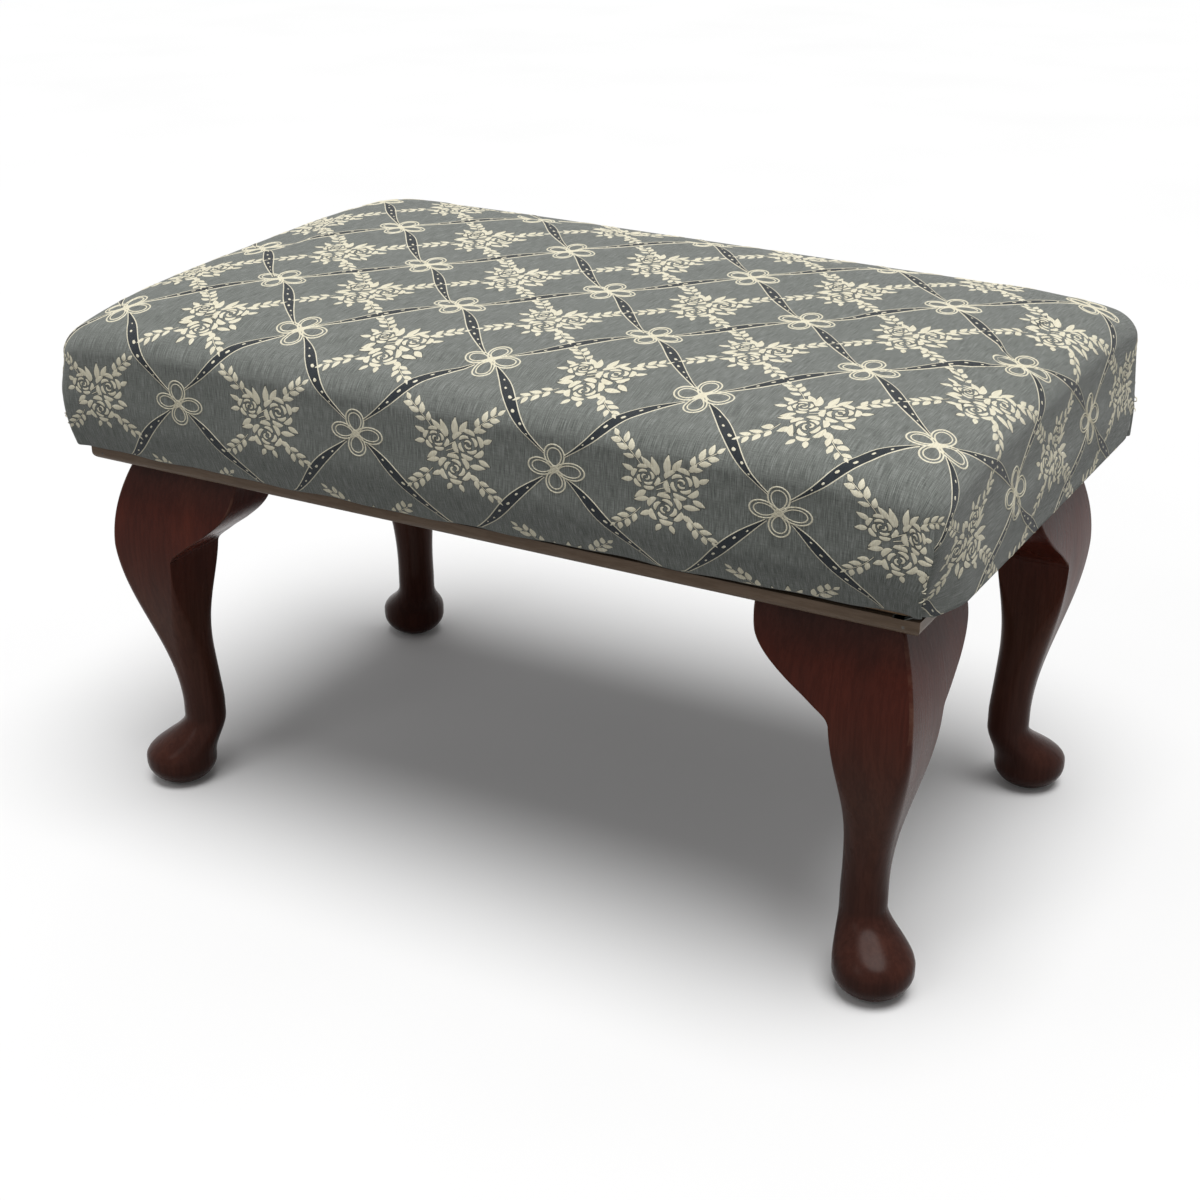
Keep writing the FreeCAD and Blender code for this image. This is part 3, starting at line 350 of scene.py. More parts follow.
# %% Blow up a copy of the pad and keep the heights
def closed_block(name, columns, level_rows, side_w, inset, inner=None):
    """Skin from the middle out and down, then a level bottom, or an inner skin back up where one is given, closed at both middles."""
    outer, _, _ = pad_skin(columns, level_rows, side_w, inset)
    top = float(pad_height(0.0, 0.0, TOP_Z)) + float(swell(np.zeros(1), np.zeros(1))[0])
    if inner is None:
        shrink = np.linspace(1, 0, 12, endpoint=False)[1:, None, None]
        below = np.concatenate([outer[-1][None, :, :2] * shrink, np.full((len(shrink), len(columns), 1), float(outer[-1][:, 2].min()))], -1)
        middle = [0.0, 0.0, float(outer[-1][:, 2].min())]
    else:
        below = pad_skin(columns, level_rows, side_w, inner)[0][::-1]
        middle = [0.0, 0.0, top - inner]
    rows = np.concatenate([outer, below])
    count, width = rows.shape[:2]
    points = np.concatenate([rows.reshape(-1, 3), [[0.0, 0.0, top - inset], middle]])
    return make_mesh(name, points, grid_faces(count, width, closed=True)[:, ::-1], end_fans(count, width))

def end_fans(count, width):
    """Triangles from the first row to one middle point and from the last row to another."""
    ring, after = np.arange(width), (np.arange(width) + 1) % width
    last = (count - 1) * width
    return np.concatenate([np.stack([np.full(width, count * width), ring, after], -1),
                           np.stack([np.full(width, count * width + 1), last + after, last + ring], -1)])

def blown_up(pad):
    """Remeshes a pad, holds its foot, runs the cloth simulation and returns the swollen surface for measuring."""
    bpy.context.view_layer.objects.active = pad
    pad.data.remesh_voxel_size = VOXEL * MM
    bpy.ops.object.voxel_remesh()
    held = pad.vertex_groups.new(name="stapled")
    held.add([v.index for v in pad.data.vertices if v.co.z < (FOOT_Z + 7.0) * MM], 1.0, "REPLACE")
    cloth = pad.modifiers.new("cloth", "CLOTH")
    cloth.settings.quality = 6
    cloth.settings.mass = 0.25
    cloth.settings.tension_stiffness = cloth.settings.compression_stiffness = 25.0
    cloth.settings.shear_stiffness = 12.0
    cloth.settings.bending_stiffness = 3.0
    cloth.settings.use_pressure = True
    cloth.settings.uniform_pressure_force = 4.0
    cloth.settings.vertex_group_mass = "stapled"
    cloth.settings.effector_weights.gravity = 0.0
    cloth.point_cache.frame_start, cloth.point_cache.frame_end = 1, FRAMES
    for step in range(1, FRAMES + 1):
        bpy.context.scene.frame_set(step)
    swollen = bpy.data.meshes.new_from_object(pad.evaluated_get(bpy.context.evaluated_depsgraph_get()))
    points = np.empty(len(swollen.vertices) * 3)
    swollen.vertices.foreach_get("co", points)
    surface = BVHTree.FromPolygons((points.reshape(-1, 3) / MM).tolist(), [tuple(f.vertices) for f in swollen.polygons])
    bpy.data.objects.remove(pad)
    bpy.data.meshes.remove(swollen)
    bpy.context.scene.frame_set(1)
    return surface

def height_map(surface, across_s=121, across_t=85):
    """Distance from the formula to the swollen surface along the outward direction, less its median, smoothed and capped."""
    s, t = np.meshgrid(np.linspace(-1, 1, across_s) * swelling["reach_s"], np.linspace(-1, 1, across_t) * swelling["reach_t"], indexing="ij")
    place, out, _ = lay(s, t)
    heights = np.zeros(s.shape)
    for at in np.ndindex(*s.shape):
        hit = surface.ray_cast(Vector(place[at] - out[at] * 25.0), Vector(out[at]), 50.0)[0]
        heights[at] = (np.array(hit) - place[at]) @ out[at] if hit else START_INSET * -1.0
    for _ in range(10):
        edged = np.pad(heights, 1, mode="edge")
        heights = (edged[:-2, 1:-1] + edged[2:, 1:-1] + edged[1:-1, :-2] + edged[1:-1, 2:] + 2 * heights) / 6
    low = smooth((place[..., 2] - FOOT_Z - 4.0) / 22.0)
    print("swollen heights from", round(heights.min(), 2), "to", round(heights.max(), 2), "mm, median", round(float(np.median(heights)), 2))
    return np.clip((heights - np.median(heights)) * 0.4, -SWELL_CAP, SWELL_CAP) * low

VOXEL, FRAMES, START_INSET, SWELL_CAP = 6.0, 20, 3.0, 1.2
start = closed_block("pad_start", round_the_seat(60, 36, 5), 14, np.linspace(0, SKIRT - 1.0, 22), START_INSET)
swelling["map"] = height_map(blown_up(start))

# %% Build the cover
def closed_cover(name, columns, level_rows, side_w, thickness, hem=14.0):
    """Outer skin, hem turned under the rail, and inner skin back to the middle, closed with a point at both middles."""
    outer, direction, cloth = pad_skin(columns, level_rows, side_w, 0.0)
    inner, _, inner_cloth = pad_skin(columns, 28, side_w[:-1:2], thickness)
    foot = outer[-1]
    inward = direction[-1] * [1, 1, 0]
    inward /= np.linalg.norm(inward, axis=-1, keepdims=True)
    under = [foot - inward * 0.5 - [0, 0, 0.5], foot - inward * 1.4 - [0, 0, 0.6]]
    for step, z in ((hem * 0.6, 221.05), (hem, 221.05), (hem, 221.95), (hem * 0.6, 221.95)):
        row = foot - inward * step
        row[:, 2] = z
        under.append(row)
    rows = np.concatenate([outer, np.array(under), inner[::-1]])
    uv = np.concatenate([cloth, np.repeat(cloth[-1:], len(under), 0), inner_cloth[::-1]])
    count, width = rows.shape[:2]
    top_middle = [0.0, 0.0, float(pad_height(0.0, 0.0, TOP_Z)) + float(swell(np.zeros(1), np.zeros(1))[0])]
    points = np.concatenate([rows.reshape(-1, 3), [top_middle, [0.0, 0.0, top_middle[2] - thickness]]])
    made = make_mesh(name, points, grid_faces(count, width, closed=True)[:, ::-1], end_fans(count, width))
    set_uv(made, "cloth", np.concatenate([uv.reshape(-1, 2), np.zeros((2, 2))]) / 100.0)
    return made

columns = round_the_seat(120, 72, 8)
side_w = np.concatenate([np.linspace(0, OVER, 17), np.linspace(OVER, SKIRT, 28)[1:]])
cover = closed_cover("cover_cloth", columns, 60, side_w, 1.2)
cover.data.set_sharp_from_angle(angle=math.radians(50.0))
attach(cover, "root")
print("cover:", len(cover.data.polygons), "faces, box", [[round(float(v), 4) for v in c] for c in (np.array(cover.bound_box).min(0), np.array(cover.bound_box).max(0))])

# %% [markdown]
# ## The woven pattern
# The cloth is a jacquard: ribbons cross in a trellis, a looped bow sits on each crossing, a spray of
# roses fills each opening, and small leaf garlands run from spray to spray. It is a traditional
# arrangement, and every motif here is worked out anew from arcs and sine curves. On a loom these
# figures are floats of thicker thread that stand a little proud, so each is laid as a thin raised
# stroke: a spine with a width along it, three points across, sunk at its edges and proud in the
# middle. The strokes are drawn on the flat cloth and `lay` takes them over the pad.

# %% Strokes on the flat cloth
REPEAT_S, REPEAT_T = 118.1, 61.8          # one bow to the next along the seat, one row of bows to the next across it
kinds = {}

def crossings(odd):
    """Places of the bows (odd=0) or of the sprays half a repeat beside them (odd=1): a lattice that is slightly skewed and drawn out over the long edges."""
    k, n = np.meshgrid(np.arange(-5, 6), np.arange(-4, 5), indexing="ij")
    n = n + 0.5 * ((k + odd) % 2)
    s, t = 4.61 + REPEAT_S * n - 0.7 * k, -1.82 + 59.69 * k + 0.491 * k ** 2 + 0.477 * k ** 3 + 2.32 * n - 0.82 * n ** 2
    inside = ((np.abs(s) < swelling["reach_s"] + 30) & (np.abs(t) < TOP_WIDTH + 30)) | ((np.abs(t) < swelling["reach_t"] + 30) & (np.abs(s) < TOP_LENGTH + 30))
    return np.stack([s[inside], t[inside]], -1)

def stroke(kind, spine, half):
    """Keeps strokes for later: spine points (strokes, points, 2) and half widths (strokes, points) in millimetres."""
    spine = np.atleast_3d(np.asarray(spine, dtype=float))
    half = np.broadcast_to(np.asarray(half, dtype=float), spine.shape[:2])
    kinds.setdefault(kind, []).append((spine, half))

def turned(points, angle):
    """Points turned anticlockwise about the motif's middle."""
    c, s = np.cos(angle), np.sin(angle)
    return points @ np.array([[c, s], [-s, c]])

def teardrop(length, width, steps, start=0.0):
    """A closed loop from the knot: along it goes out and back by a cosine, across it swings by a sine that is narrow near the knot."""
    u = np.linspace(0, 1, steps)
    along = start + (length - start) * (1 - np.cos(2 * math.pi * u)) / 2
    return np.stack([width / 2 * np.sin(2 * math.pi * u) * np.sin(math.pi * u) ** 0.35, along], -1)

def leaf(length, half, steps=6):
    """A straight pointed leaf: its half width is a sine of the way along, fuller near the stem."""
    u = np.linspace(0, 1, steps)
    return np.stack([0 * u, u * length], -1), half * np.sin(math.pi * u ** 0.8) + 0.04

print("bows:", len(crossings(0)), "sprays:", len(crossings(1)))

# %% Bows: four double loops and a knot
wobble = np.random.default_rng(7)
for turn_by, length, width in ((0.03, 15.6, 12.4), (math.pi / 2 - 0.05, 15.0, 11.6), (math.pi + 0.04, 14.6, 12.0), (-math.pi / 2 + 0.02, 16.4, 11.8)):
    stroke("bow", turned(teardrop(length, width, 25), turn_by)[None], 0.46)
    stroke("bow", turned(teardrop(length - 2.2, width - 3.6, 21, 2.0), turn_by)[None], 0.38)
ring = np.linspace(0, 2 * math.pi, 13)
stroke("bow", (1.9 * np.stack([np.cos(ring), np.sin(ring)], -1))[None], 0.6)
print("strokes in a bow:", sum(len(s) for s, _ in kinds["bow"]))

# %% Ribbons: a dark band between two light edges, with graded dots
def ribbon_line(to_right, u):
    """From one bow down to the next: a straight line that sways once to each side."""
    across = np.array([REPEAT_S / 2 + 1.03, -REPEAT_T + 1.0]) if to_right else np.array([-REPEAT_S / 2 - 1.03 + 1.5, -REPEAT_T - 1.0])
    side = np.array([-across[1], across[0]]) / np.hypot(*across)
    sway = (1.5 if to_right else -1.5) * np.sin(2 * math.pi * u) + 0.25 * np.sin(11.0 * u)
    return u[:, None] * across + sway[:, None] * side, side

for to_right, peak in ((True, 0.72), (False, 0.85)):
    u = np.linspace(0.1, 0.91, 26)
    spine, side = ribbon_line(to_right, u)
    band = 0.35 + 2.55 * np.sin(math.pi * np.clip((u - 0.1) / 0.81, 0, 1) ** peak) ** 1.5
    stroke("ribbon_band", spine[None], band[None])
    for sign in (-1, 1):
        stroke("ribbon_edge", (spine + sign * side * (band + 0.1)[:, None])[None], 0.4)
    for place, size, shift in ((0.25, 0.9, 0.25), (0.35, 1.2, -0.4), (0.46, 1.5, 0.3), (0.57, 1.35, -0.3), (0.67, 1.0, 0.2), (0.75, 0.7, -0.1)):
        a = np.linspace(-1, 1, 7)
        middle, _ = ribbon_line(to_right, np.array([place]))
        along = np.array([side[1], -side[0]])
        stroke("ribbon_dot", (middle + shift * side + (a * size * 1.1)[:, None] * along)[None], (size * np.sqrt(np.clip(1 - a * a, 0, 1)) + 0.03)[None])
print("ribbon strokes:", {k: len(v) for k, v in kinds.items()})

# %% Sprays: three roses, pointed leaves and short stems
def rose(cx, cy, radius, spin):
    """Rings of curled petals: each petal is an arc whose radius grows along it, thick in its middle and pointed at its ends."""
    spines, halves = [], []
    for share, count, thick in ((0.17, 2, 0.85), (0.48, 4, 1.3), (0.82, 6, 1.8)):
        for i in range(count):
            u = np.linspace(0, 1, 7)
            reach = 2 * math.pi / count * 0.92
            angle = spin + share * 5.0 + 2 * math.pi * i / count + u * reach
            r = radius * (share - 0.05 + 0.13 * u + 0.05 * np.sin(math.pi * u))
            spines.append(np.stack([cx + r * np.cos(angle), cy + r * np.sin(angle)], -1))
            halves.append(thick * radius / 9.5 * (0.12 + 0.88 * np.sin(math.pi * u) ** 0.6))
    return np.array(spines), np.array(halves)

for cx, cy, radius, spin in ((-9.5, 6.0, 7.6, 0.4), (9.3, 5.6, 9.6, 2.1), (1.0, -11.6, 9.6, 4.4)):
    stroke("spray", *rose(cx, cy, radius, spin))
spray_leaves = ((-2.5, 8.0, 12.5, 2.1, 0.35), (1.5, 9.5, 13.0, 2.2, -0.05), (4.5, 12.0, 10.5, 2.0, -0.5), (-6.0, 11.5, 9.5, 1.9, 0.75),
                (-15.5, 8.5, 7.5, 1.8, 1.15), (-16.0, 3.5, 7.0, 1.8, 1.8), (-9.0, -2.0, 9.0, 1.9, 2.3), (-7.5, -6.5, 9.0, 1.8, 1.9),
                (-6.5, -14.5, 7.0, 1.8, 2.1), (9.8, -13.5, 7.5, 1.9, -2.1), (9.8, -8.0, 10.0, 2.0, -1.55), (15.0, -3.0, 8.0, 1.9, -2.0),
                (18.0, 8.0, 7.0, 1.8, -1.0), (13.5, 13.5, 7.5, 1.8, -0.55), (-1.0, -21.0, 6.5, 1.7, 2.7), (4.0, -20.8, 6.5, 1.7, -2.8))
for x, y, length, half, angle in spray_leaves:
    spine, width = leaf(length, half, 7)
    stroke("spray", (turned(spine, angle) + [x, y])[None], width[None])
for x0, y0, x1, y1 in ((-4.5, 1.5, 2.0, 6.5), (-3.6, -0.6, 3.5, 3.0), (-2.6, -2.6, 3.6, 0.0)):
    u = np.linspace(0, 1, 4)[:, None]
    stroke("spray", (np.array([x0, y0]) * (1 - u) + np.array([x1, y1]) * u)[None], 0.42)
print("strokes in a spray:", sum(len(s) for s, _ in kinds["spray"]))

# %% Garlands: a thin stem with pairs of leaves, from each spray towards its four neighbours
for sx, sy in ((1, 1), (-1, 1), (-1, -1), (1, -1)):
    way = np.array([sx * REPEAT_S / 2, sy * REPEAT_T])
    reach = np.hypot(*way) / 2
    way /= 2 * reach
    side = np.array([-way[1], way[0]])
    u = np.linspace(0, 1, 9)
    along = 18.0 + u * (reach - 23.5)
    stem = along[:, None] * way + (1.3 * sx * sy * np.sin(2.6 * u + 0.4))[:, None] * side
    stroke("garland", stem[None], 0.34)
    heading = math.atan2(way[1], way[0]) - math.pi / 2
    for i, (share, length, half) in enumerate(((0.2, 6.6, 1.7), (0.49, 7.2, 1.85), (0.78, 6.4, 1.7))):
        for hand in (-1, 1):
            spot = np.array([np.interp(share + 0.05 * hand, u, stem[:, 0]), np.interp(share + 0.05 * hand, u, stem[:, 1])])
            spine, width = leaf(length, half)
            lean = heading + hand * (0.62 + 0.12 * math.sin(3.0 * i + sx + 2 * sy))
            stroke("garland", (turned(spine, lean) + spot + hand * side * 0.5)[None], width[None])
    spine, width = leaf(5.2, 1.3)
    stroke("garland", (turned(spine, heading) + stem[-1])[None], width[None])
print("strokes in the garlands of a spray:", len(kinds["garland"]))

# %% Lay the strokes over the pad
def woven(name, kind_names, places, proud, sunk=-0.03, wider=0.0):
    """Repeats strokes at every place, gives each three rows across, lays them on the pad and leaves out what the folds hide."""
    points, faces, uv, first = [], [], [], 0
    for kind in kind_names:
        for spines, halves in kinds[kind]:
            spine = (spines[None] + places[:, None, None, :]).reshape(-1, *spines.shape[1:])
            half = np.tile(halves, (len(places), 1)) + wider
            along = np.gradient(spine, axis=1)
            along /= np.maximum(np.linalg.norm(along, axis=-1, keepdims=True), 1e-9)
            across = np.stack([-along[..., 1], along[..., 0]], -1)
            cloth = spine[:, :, None, :] + across[:, :, None, :] * half[:, :, None, None] * np.array([-1.0, 0.0, 1.0])[None, None, :, None]
            on_pad, out, hidden = lay(cloth[..., 0], cloth[..., 1])
            rise = np.full(cloth.shape[:3], sunk)
            rise[:, :, 1] = proud * np.minimum(1.0, half / 0.6)
            on_pad = on_pad + out * (rise + swell(cloth[..., 0], cloth[..., 1]))[..., None]
            count, steps = spine.shape[:2]
            quads = (grid_faces(steps, 3)[None] + (np.arange(count) * steps * 3)[:, None, None]).reshape(-1, 4)
            keep = ~hidden.reshape(-1)[quads].all(1)
            points.append(on_pad.reshape(-1, 3))
            uv.append(cloth.reshape(-1, 2) / 100.0)
            faces.append(quads[keep][:, ::-1] + first)
            first += count * steps * 3
    points, uv, faces = np.concatenate(points), np.concatenate(uv), np.concatenate(faces)
    used, faces = np.unique(faces, return_inverse=True)
    made = make_mesh(name, points[used], faces.reshape(-1, 4))
    set_uv(made, "cloth", uv[used])
    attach(made, "root")
    print(name, len(faces.reshape(-1, 4)), "faces")
    return made

bows_at, sprays_at = crossings(0), crossings(1)
ribbon_bands = woven("woven_ribbon_bands", ["ribbon_band"], bows_at, 0.24, 0.12)
ribbon_edges = woven("woven_ribbon_edges", ["ribbon_edge", "ribbon_dot"], bows_at, 0.42)
bow_loops = woven("woven_bows", ["bow"], bows_at, 0.5)
rose_sprays = woven("woven_sprays", ["spray"], sprays_at, 0.3)
leaf_garlands = woven("woven_garlands", ["garland"], sprays_at, 0.3)
spray_outlines = woven("woven_spray_outlines", ["spray"], sprays_at, 0.1, wider=0.42)
garland_outlines = woven("woven_garland_outlines", ["garland"], sprays_at, 0.09, wider=0.3)

# %% [markdown]
# ## Cabriole legs and their ears
# Each leg is cut from a square of mahogany: square at the post, with sharp edges over the knee,
# rounder down the shank, round at the ankle, and a turned pad foot. The section at each height is
# a square with its own corner radii, and the legs are those sections stacked as a grid. The ears
# are thin brackets glued beside the post, sawn to an S-shaped outline and planed flush with it.
# A mask follows the edges, because that is where polish rubs through first. Its pale colour also paints the highlight
# that runs along the arrises.

# %% Leg formulas
LEG_X, LEG_Y, LEG_TOP, KNEE, ANKLE = 250.0, 146.0, 212.96, 158.0, 52.0
POST, EAR_FOOT, EAR_REACH, EAR_DROP = 44.8, 154.5, 45.5, 58.5

def ease(share):
    """Half a cosine from 0 to 1."""
    return (1 - np.cos(math.pi * np.clip(share, 0, 1))) / 2

def foot_reach(z):
    """Plan radius of the pad foot: an ellipse that the flat sole cuts."""
    return 21.2 * np.sqrt(np.maximum(1 - (1 - z / 14.0) ** 2 * (1 - (8.0 / 21.2) ** 2), 0))

def leg_faces(z):
    """Outer and inner face of the leg at each height: foot, toe rising to the ankle, shank, and knee leaning in under the moulding."""
    outer = np.where(z >= KNEE, 2.3 + 13.4 * ((z - KNEE) / 55.0) ** 2,
            np.where(z >= ANKLE, 20.3 - 18.0 * ease((z - ANKLE) / 106.0),
            np.where(z >= 14.0, -0.3 + 20.6 * ease((z - 17.0) / 25.0), 20.9 - foot_reach(z))))
    share = np.clip((z - ANKLE) / (EAR_FOOT - ANKLE), 0, 1)
    inner = np.where(z >= ANKLE, 45.0 - 0.2 * share - 2.4 * np.sin(math.pi * share),
            np.where(z >= 14.0, 42.1 + 2.9 * ease((z - 14.0) / 28.0), 20.9 + foot_reach(z)))
    return outer, inner

def rounded_section(low_u, high_u, low_v, high_v, radii, arc=9, flats=(0.01, 0.25, 0.75, 0.99)):
    """Points round a rectangle with a radius at each corner, corner arcs first point to last, then the flat to the next corner."""
    pieces = []
    corners = ((low_u, low_v, 1, 1, math.pi), (high_u, low_v, -1, 1, 1.5 * math.pi), (high_u, high_v, -1, -1, 0.0), (low_u, high_v, 1, -1, 0.5 * math.pi))
    for (u, v, su, sv, start), radius in zip(corners, radii):
        turn = start + np.linspace(0, math.pi / 2, arc)
        pieces.append(np.stack([(u + su * radius)[:, None] + radius[:, None] * np.cos(turn), (v + sv * radius)[:, None] + radius[:, None] * np.sin(turn)], -1))
    whole = []
    for i, piece in enumerate(pieces):
        last, first = piece[:, -1], pieces[(i + 1) % 4][:, 0]
        whole.append(piece)
        whole.append(np.stack([last * (1 - f) + first * f for f in flats], 1))
    return np.concatenate(whole, 1)

def leg_grid():
    """Sections of the leg from the sole to the moulding, and its edge mask."""
    z = np.concatenate([14.0 * (1 - np.cos(np.linspace(0, math.pi / 2, 14))), np.linspace(14, ANKLE, 30)[1:], np.linspace(ANKLE, LEG_TOP, 84)[1:]])
    outer, inner = leg_faces(z)
    half = (inner - outer) / 2 - 0.1
    square = np.clip((z - ANKLE) / (KNEE - ANKLE), 0, 1)
    post = ease((z - EAR_FOOT) / 70.0 + 1)
    near, side = half + (1.6 - half) * square, half + (9.0 - half) * square
    side, far = side + (0.06 - side) * post, half + (0.06 - half) * post
    section = rounded_section(outer, inner, outer, inner, (near, side, far, side))
    points = np.concatenate([section, np.broadcast_to(z[:, None, None], (*section.shape[:2], 1))], -1)
    edge = np.zeros(section.shape[1])
    edge[:9], edge[9], edge[-1] = 1.0, 0.5, 0.5
    below_post = 1 - ease((z - EAR_FOOT) / 14.0 + 1)
    mask = edge[None] * square[:, None] ** 2
    for start in (13, 39):
        mask[:, start:start + 9] = (0.55 * square * below_post)[:, None]
    knocks = 0.72 * np.exp(-((z - 6.5) / 2.5) ** 2)
    return points, np.maximum(mask, knocks[:, None])

def ear_grid():
    """Sections of an ear from its foot to the moulding, along u from the post, and its edge mask."""
    down = np.array([0, 0.2, 0.39, 0.51, 0.64, 0.82, 1.0])
    reach = np.array([1, 0.985, 0.91, 0.78, 0.58, 0.255, 0.0])
    fine = np.linspace(0, 1, 61)
    slope = np.gradient(reach, down)
    slope[-1] = -0.35
    k = np.clip(np.searchsorted(down, fine, side="right") - 1, 0, 5)
    width = down[k + 1] - down[k]
    f = (fine - down[k]) / width
    curve = (reach[k] * (1 + 2 * f) * (1 - f) ** 2 + slope[k] * width * f * (1 - f) ** 2
             + reach[k + 1] * f * f * (3 - 2 * f) + slope[k + 1] * width * f * f * (f - 1))
    z = (213.0 - EAR_DROP * fine)[::-1]
    out = np.maximum(curve[::-1] * EAR_REACH, 0.05)
    z[-1] = LEG_TOP
    low_v = leg_faces(z)[0]
    soft = np.minimum(1.1, out / 2.2)
    tight = np.minimum(0.06, out / 2.2)
    section = rounded_section(np.full_like(z, POST), POST + out, low_v, np.full_like(z, POST), (tight, soft, soft, tight), arc=5)
    points = np.concatenate([section, np.broadcast_to(z[:, None, None], (*section.shape[:2], 1))], -1)
    mask = np.zeros(section.shape[:2])
    mask[:, 9:14], mask[:, 18:23] = 1.0, 0.8
    mask[:, 8], mask[:, 14] = 0.3, 0.3
    return points, mask

def stand(name, grid, mask, side_x, side_y, swap=False):
    """Sets sections at a corner of the footstool, mirrored as it needs, and closes both ends with a fan."""
    rows, width = grid.shape[:2]
    u, v, z = (grid[..., 1], grid[..., 0], grid[..., 2]) if swap else (grid[..., 0], grid[..., 1], grid[..., 2])
    points = np.stack([side_x * (LEG_X - u), side_y * (LEG_Y - v), z], -1).reshape(-1, 3)
    ends = np.stack([points[:width].mean(0), points[-width:].mean(0)])
    ring, after = np.arange(width), (np.arange(width) + 1) % width
    last = (rows - 1) * width
    tris = np.concatenate([np.stack([np.full(width, rows * width), after, ring], -1),
                           np.stack([np.full(width, rows * width + 1), last + ring, last + after], -1)])
    turned_over = (side_x * side_y < 0) != swap
    made = make_mesh(name, np.concatenate([points, ends]), grid_faces(rows, width, closed=True), tris, flip=turned_over)
    set_mask(made, "edge", np.concatenate([mask.ravel(), [0.0, 0.0]]))
    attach(made, "root")
    return made

leg_points, leg_mask = leg_grid()
ear_points, ear_mask = ear_grid()
legs, ears = [], []
for depth, side_y in (("front", -1), ("back", 1)):
    for hand, side_x in (("left", -1), ("right", 1)):
        corner = f"{depth}_{hand}"
        legs.append(stand(f"carved_leg_{corner}", leg_points, leg_mask, side_x, side_y))
        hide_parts(f"leg_{corner}")
        for run, swap in (("long", False), ("short", True)):
            ears.append(stand(f"sawn_ear_{corner}_{run}", ear_points, ear_mask, side_x, side_y, swap))
            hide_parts(f"ear_{corner}_{run}")
print("legs:", len(legs), "of", len(legs[0].data.polygons), "faces, ears:", len(ears))

# %% [markdown]
# ## Finishes
# Every finish is built from nodes. Effects that several finishes share are node groups: a thread
# grain for cloths, a wood grain for timbers, and an edge wear with a painted highlight that reads a
# mask. Patterns read Object coordinates, or the cloth's own UV map where they must follow the threads.

# %% Node helpers
def new_material(name):
    """A material with one Principled BSDF, ready for nodes."""
    made = bpy.data.materials.new(name)
    made.use_nodes = True
    return made, made.node_tree, made.node_tree.nodes["Principled BSDF"]

def node(tree, kind, **settings):
    """Adds a node and sets its properties, or its inputs where the name is one of them."""
    made = tree.nodes.new(kind)
    for key, value in settings.items():
        if key in ("operation", "data_type", "blend_type", "noise_dimensions", "attribute_name", "clamp", "uv_map", "feature", "interpolation_type", "invert"):
            setattr(made, key, value)
        else:
            made.inputs[key.replace("_", " ")].default_value = value
    return made

def ramp(tree, source, stops):
    """A colour ramp from pairs of a place and a colour."""
    made = tree.nodes.new("ShaderNodeValToRGB")
    while len(made.color_ramp.elements) < len(stops):
        made.color_ramp.elements.new(0.5)
    for element, (place, colour) in zip(made.color_ramp.elements, stops):
        element.position, element.color = place, (*colour, 1.0)
    tree.links.new(source, made.inputs["Fac"])
    return made.outputs["Color"]

def mixed(tree, factor, first, second, blend_type="MIX"):
    """Mixes two colours, each a socket or a fixed colour, by a factor that is a socket or a number."""
    made = node(tree, "ShaderNodeMix", data_type="RGBA", blend_type=blend_type)
    for socket, value in ((made.inputs[0], factor), (made.inputs[6], first), (made.inputs[7], second)):
        if isinstance(value, bpy.types.NodeSocket):
            tree.links.new(value, socket)
        else:
            socket.default_value = value if isinstance(value, float) else (*value, 1.0)
    return made.outputs[2]

def math_node(tree, operation, first, second=0.5):
    """One step of arithmetic on sockets or numbers."""
    made = node(tree, "ShaderNodeMath", operation=operation)
    for socket, value in zip(made.inputs, (first, second)):
        if isinstance(value, bpy.types.NodeSocket):
            tree.links.new(value, socket)
        else:
            socket.default_value = value
    return made.outputs[0]

def stretched_noise(tree, vector, scale, detail=3.0, roughness=0.55):
    """Noise whose grain is drawn out differently along each axis."""
    mapping = node(tree, "ShaderNodeMapping", Scale=scale)
    tree.links.new(vector, mapping.inputs["Vector"])
    noise = node(tree, "ShaderNodeTexNoise", Scale=1.0, Detail=detail, Roughness=roughness)
    tree.links.new(mapping.outputs["Vector"], noise.inputs["Vector"])
    return noise.outputs["Fac"]

def group_of(name, inputs, outputs):
    """An empty node group with named sockets."""
    made = bpy.data.node_groups.new(name, "ShaderNodeTree")
    for socket, kind in inputs:
        made.interface.new_socket(socket, in_out="INPUT", socket_type=kind)
    for socket, kind in outputs:
        made.interface.new_socket(socket, in_out="OUTPUT", socket_type=kind)
    return made, made.nodes.new("NodeGroupInput"), made.nodes.new("NodeGroupOutput")

def place_group(tree, group, vector=None, **values):
    """Puts a node group into a material with its own values."""
    made = tree.nodes.new("ShaderNodeGroup")
    made.node_tree = group
    for key, value in values.items():
        made.inputs[key].default_value = value
    if vector is not None:
        tree.links.new(vector, made.inputs["Vector"])
    return made

def bumped(tree, height, shader, distance, strength=1.0):
    """Turns a height into a bump of the given depth in metres."""
    bump = node(tree, "ShaderNodeBump", Strength=strength, Distance=distance)
    tree.links.new(height, bump.inputs["Height"])
    tree.links.new(bump.outputs["Normal"], shader.inputs["Normal"])

def object_place(tree):
    return tree.nodes.new("ShaderNodeTexCoord").outputs["Object"]

def cloth_place(tree):
    return node(tree, "ShaderNodeUVMap", uv_map="cloth").outputs["UV"]

print("node helpers ready")

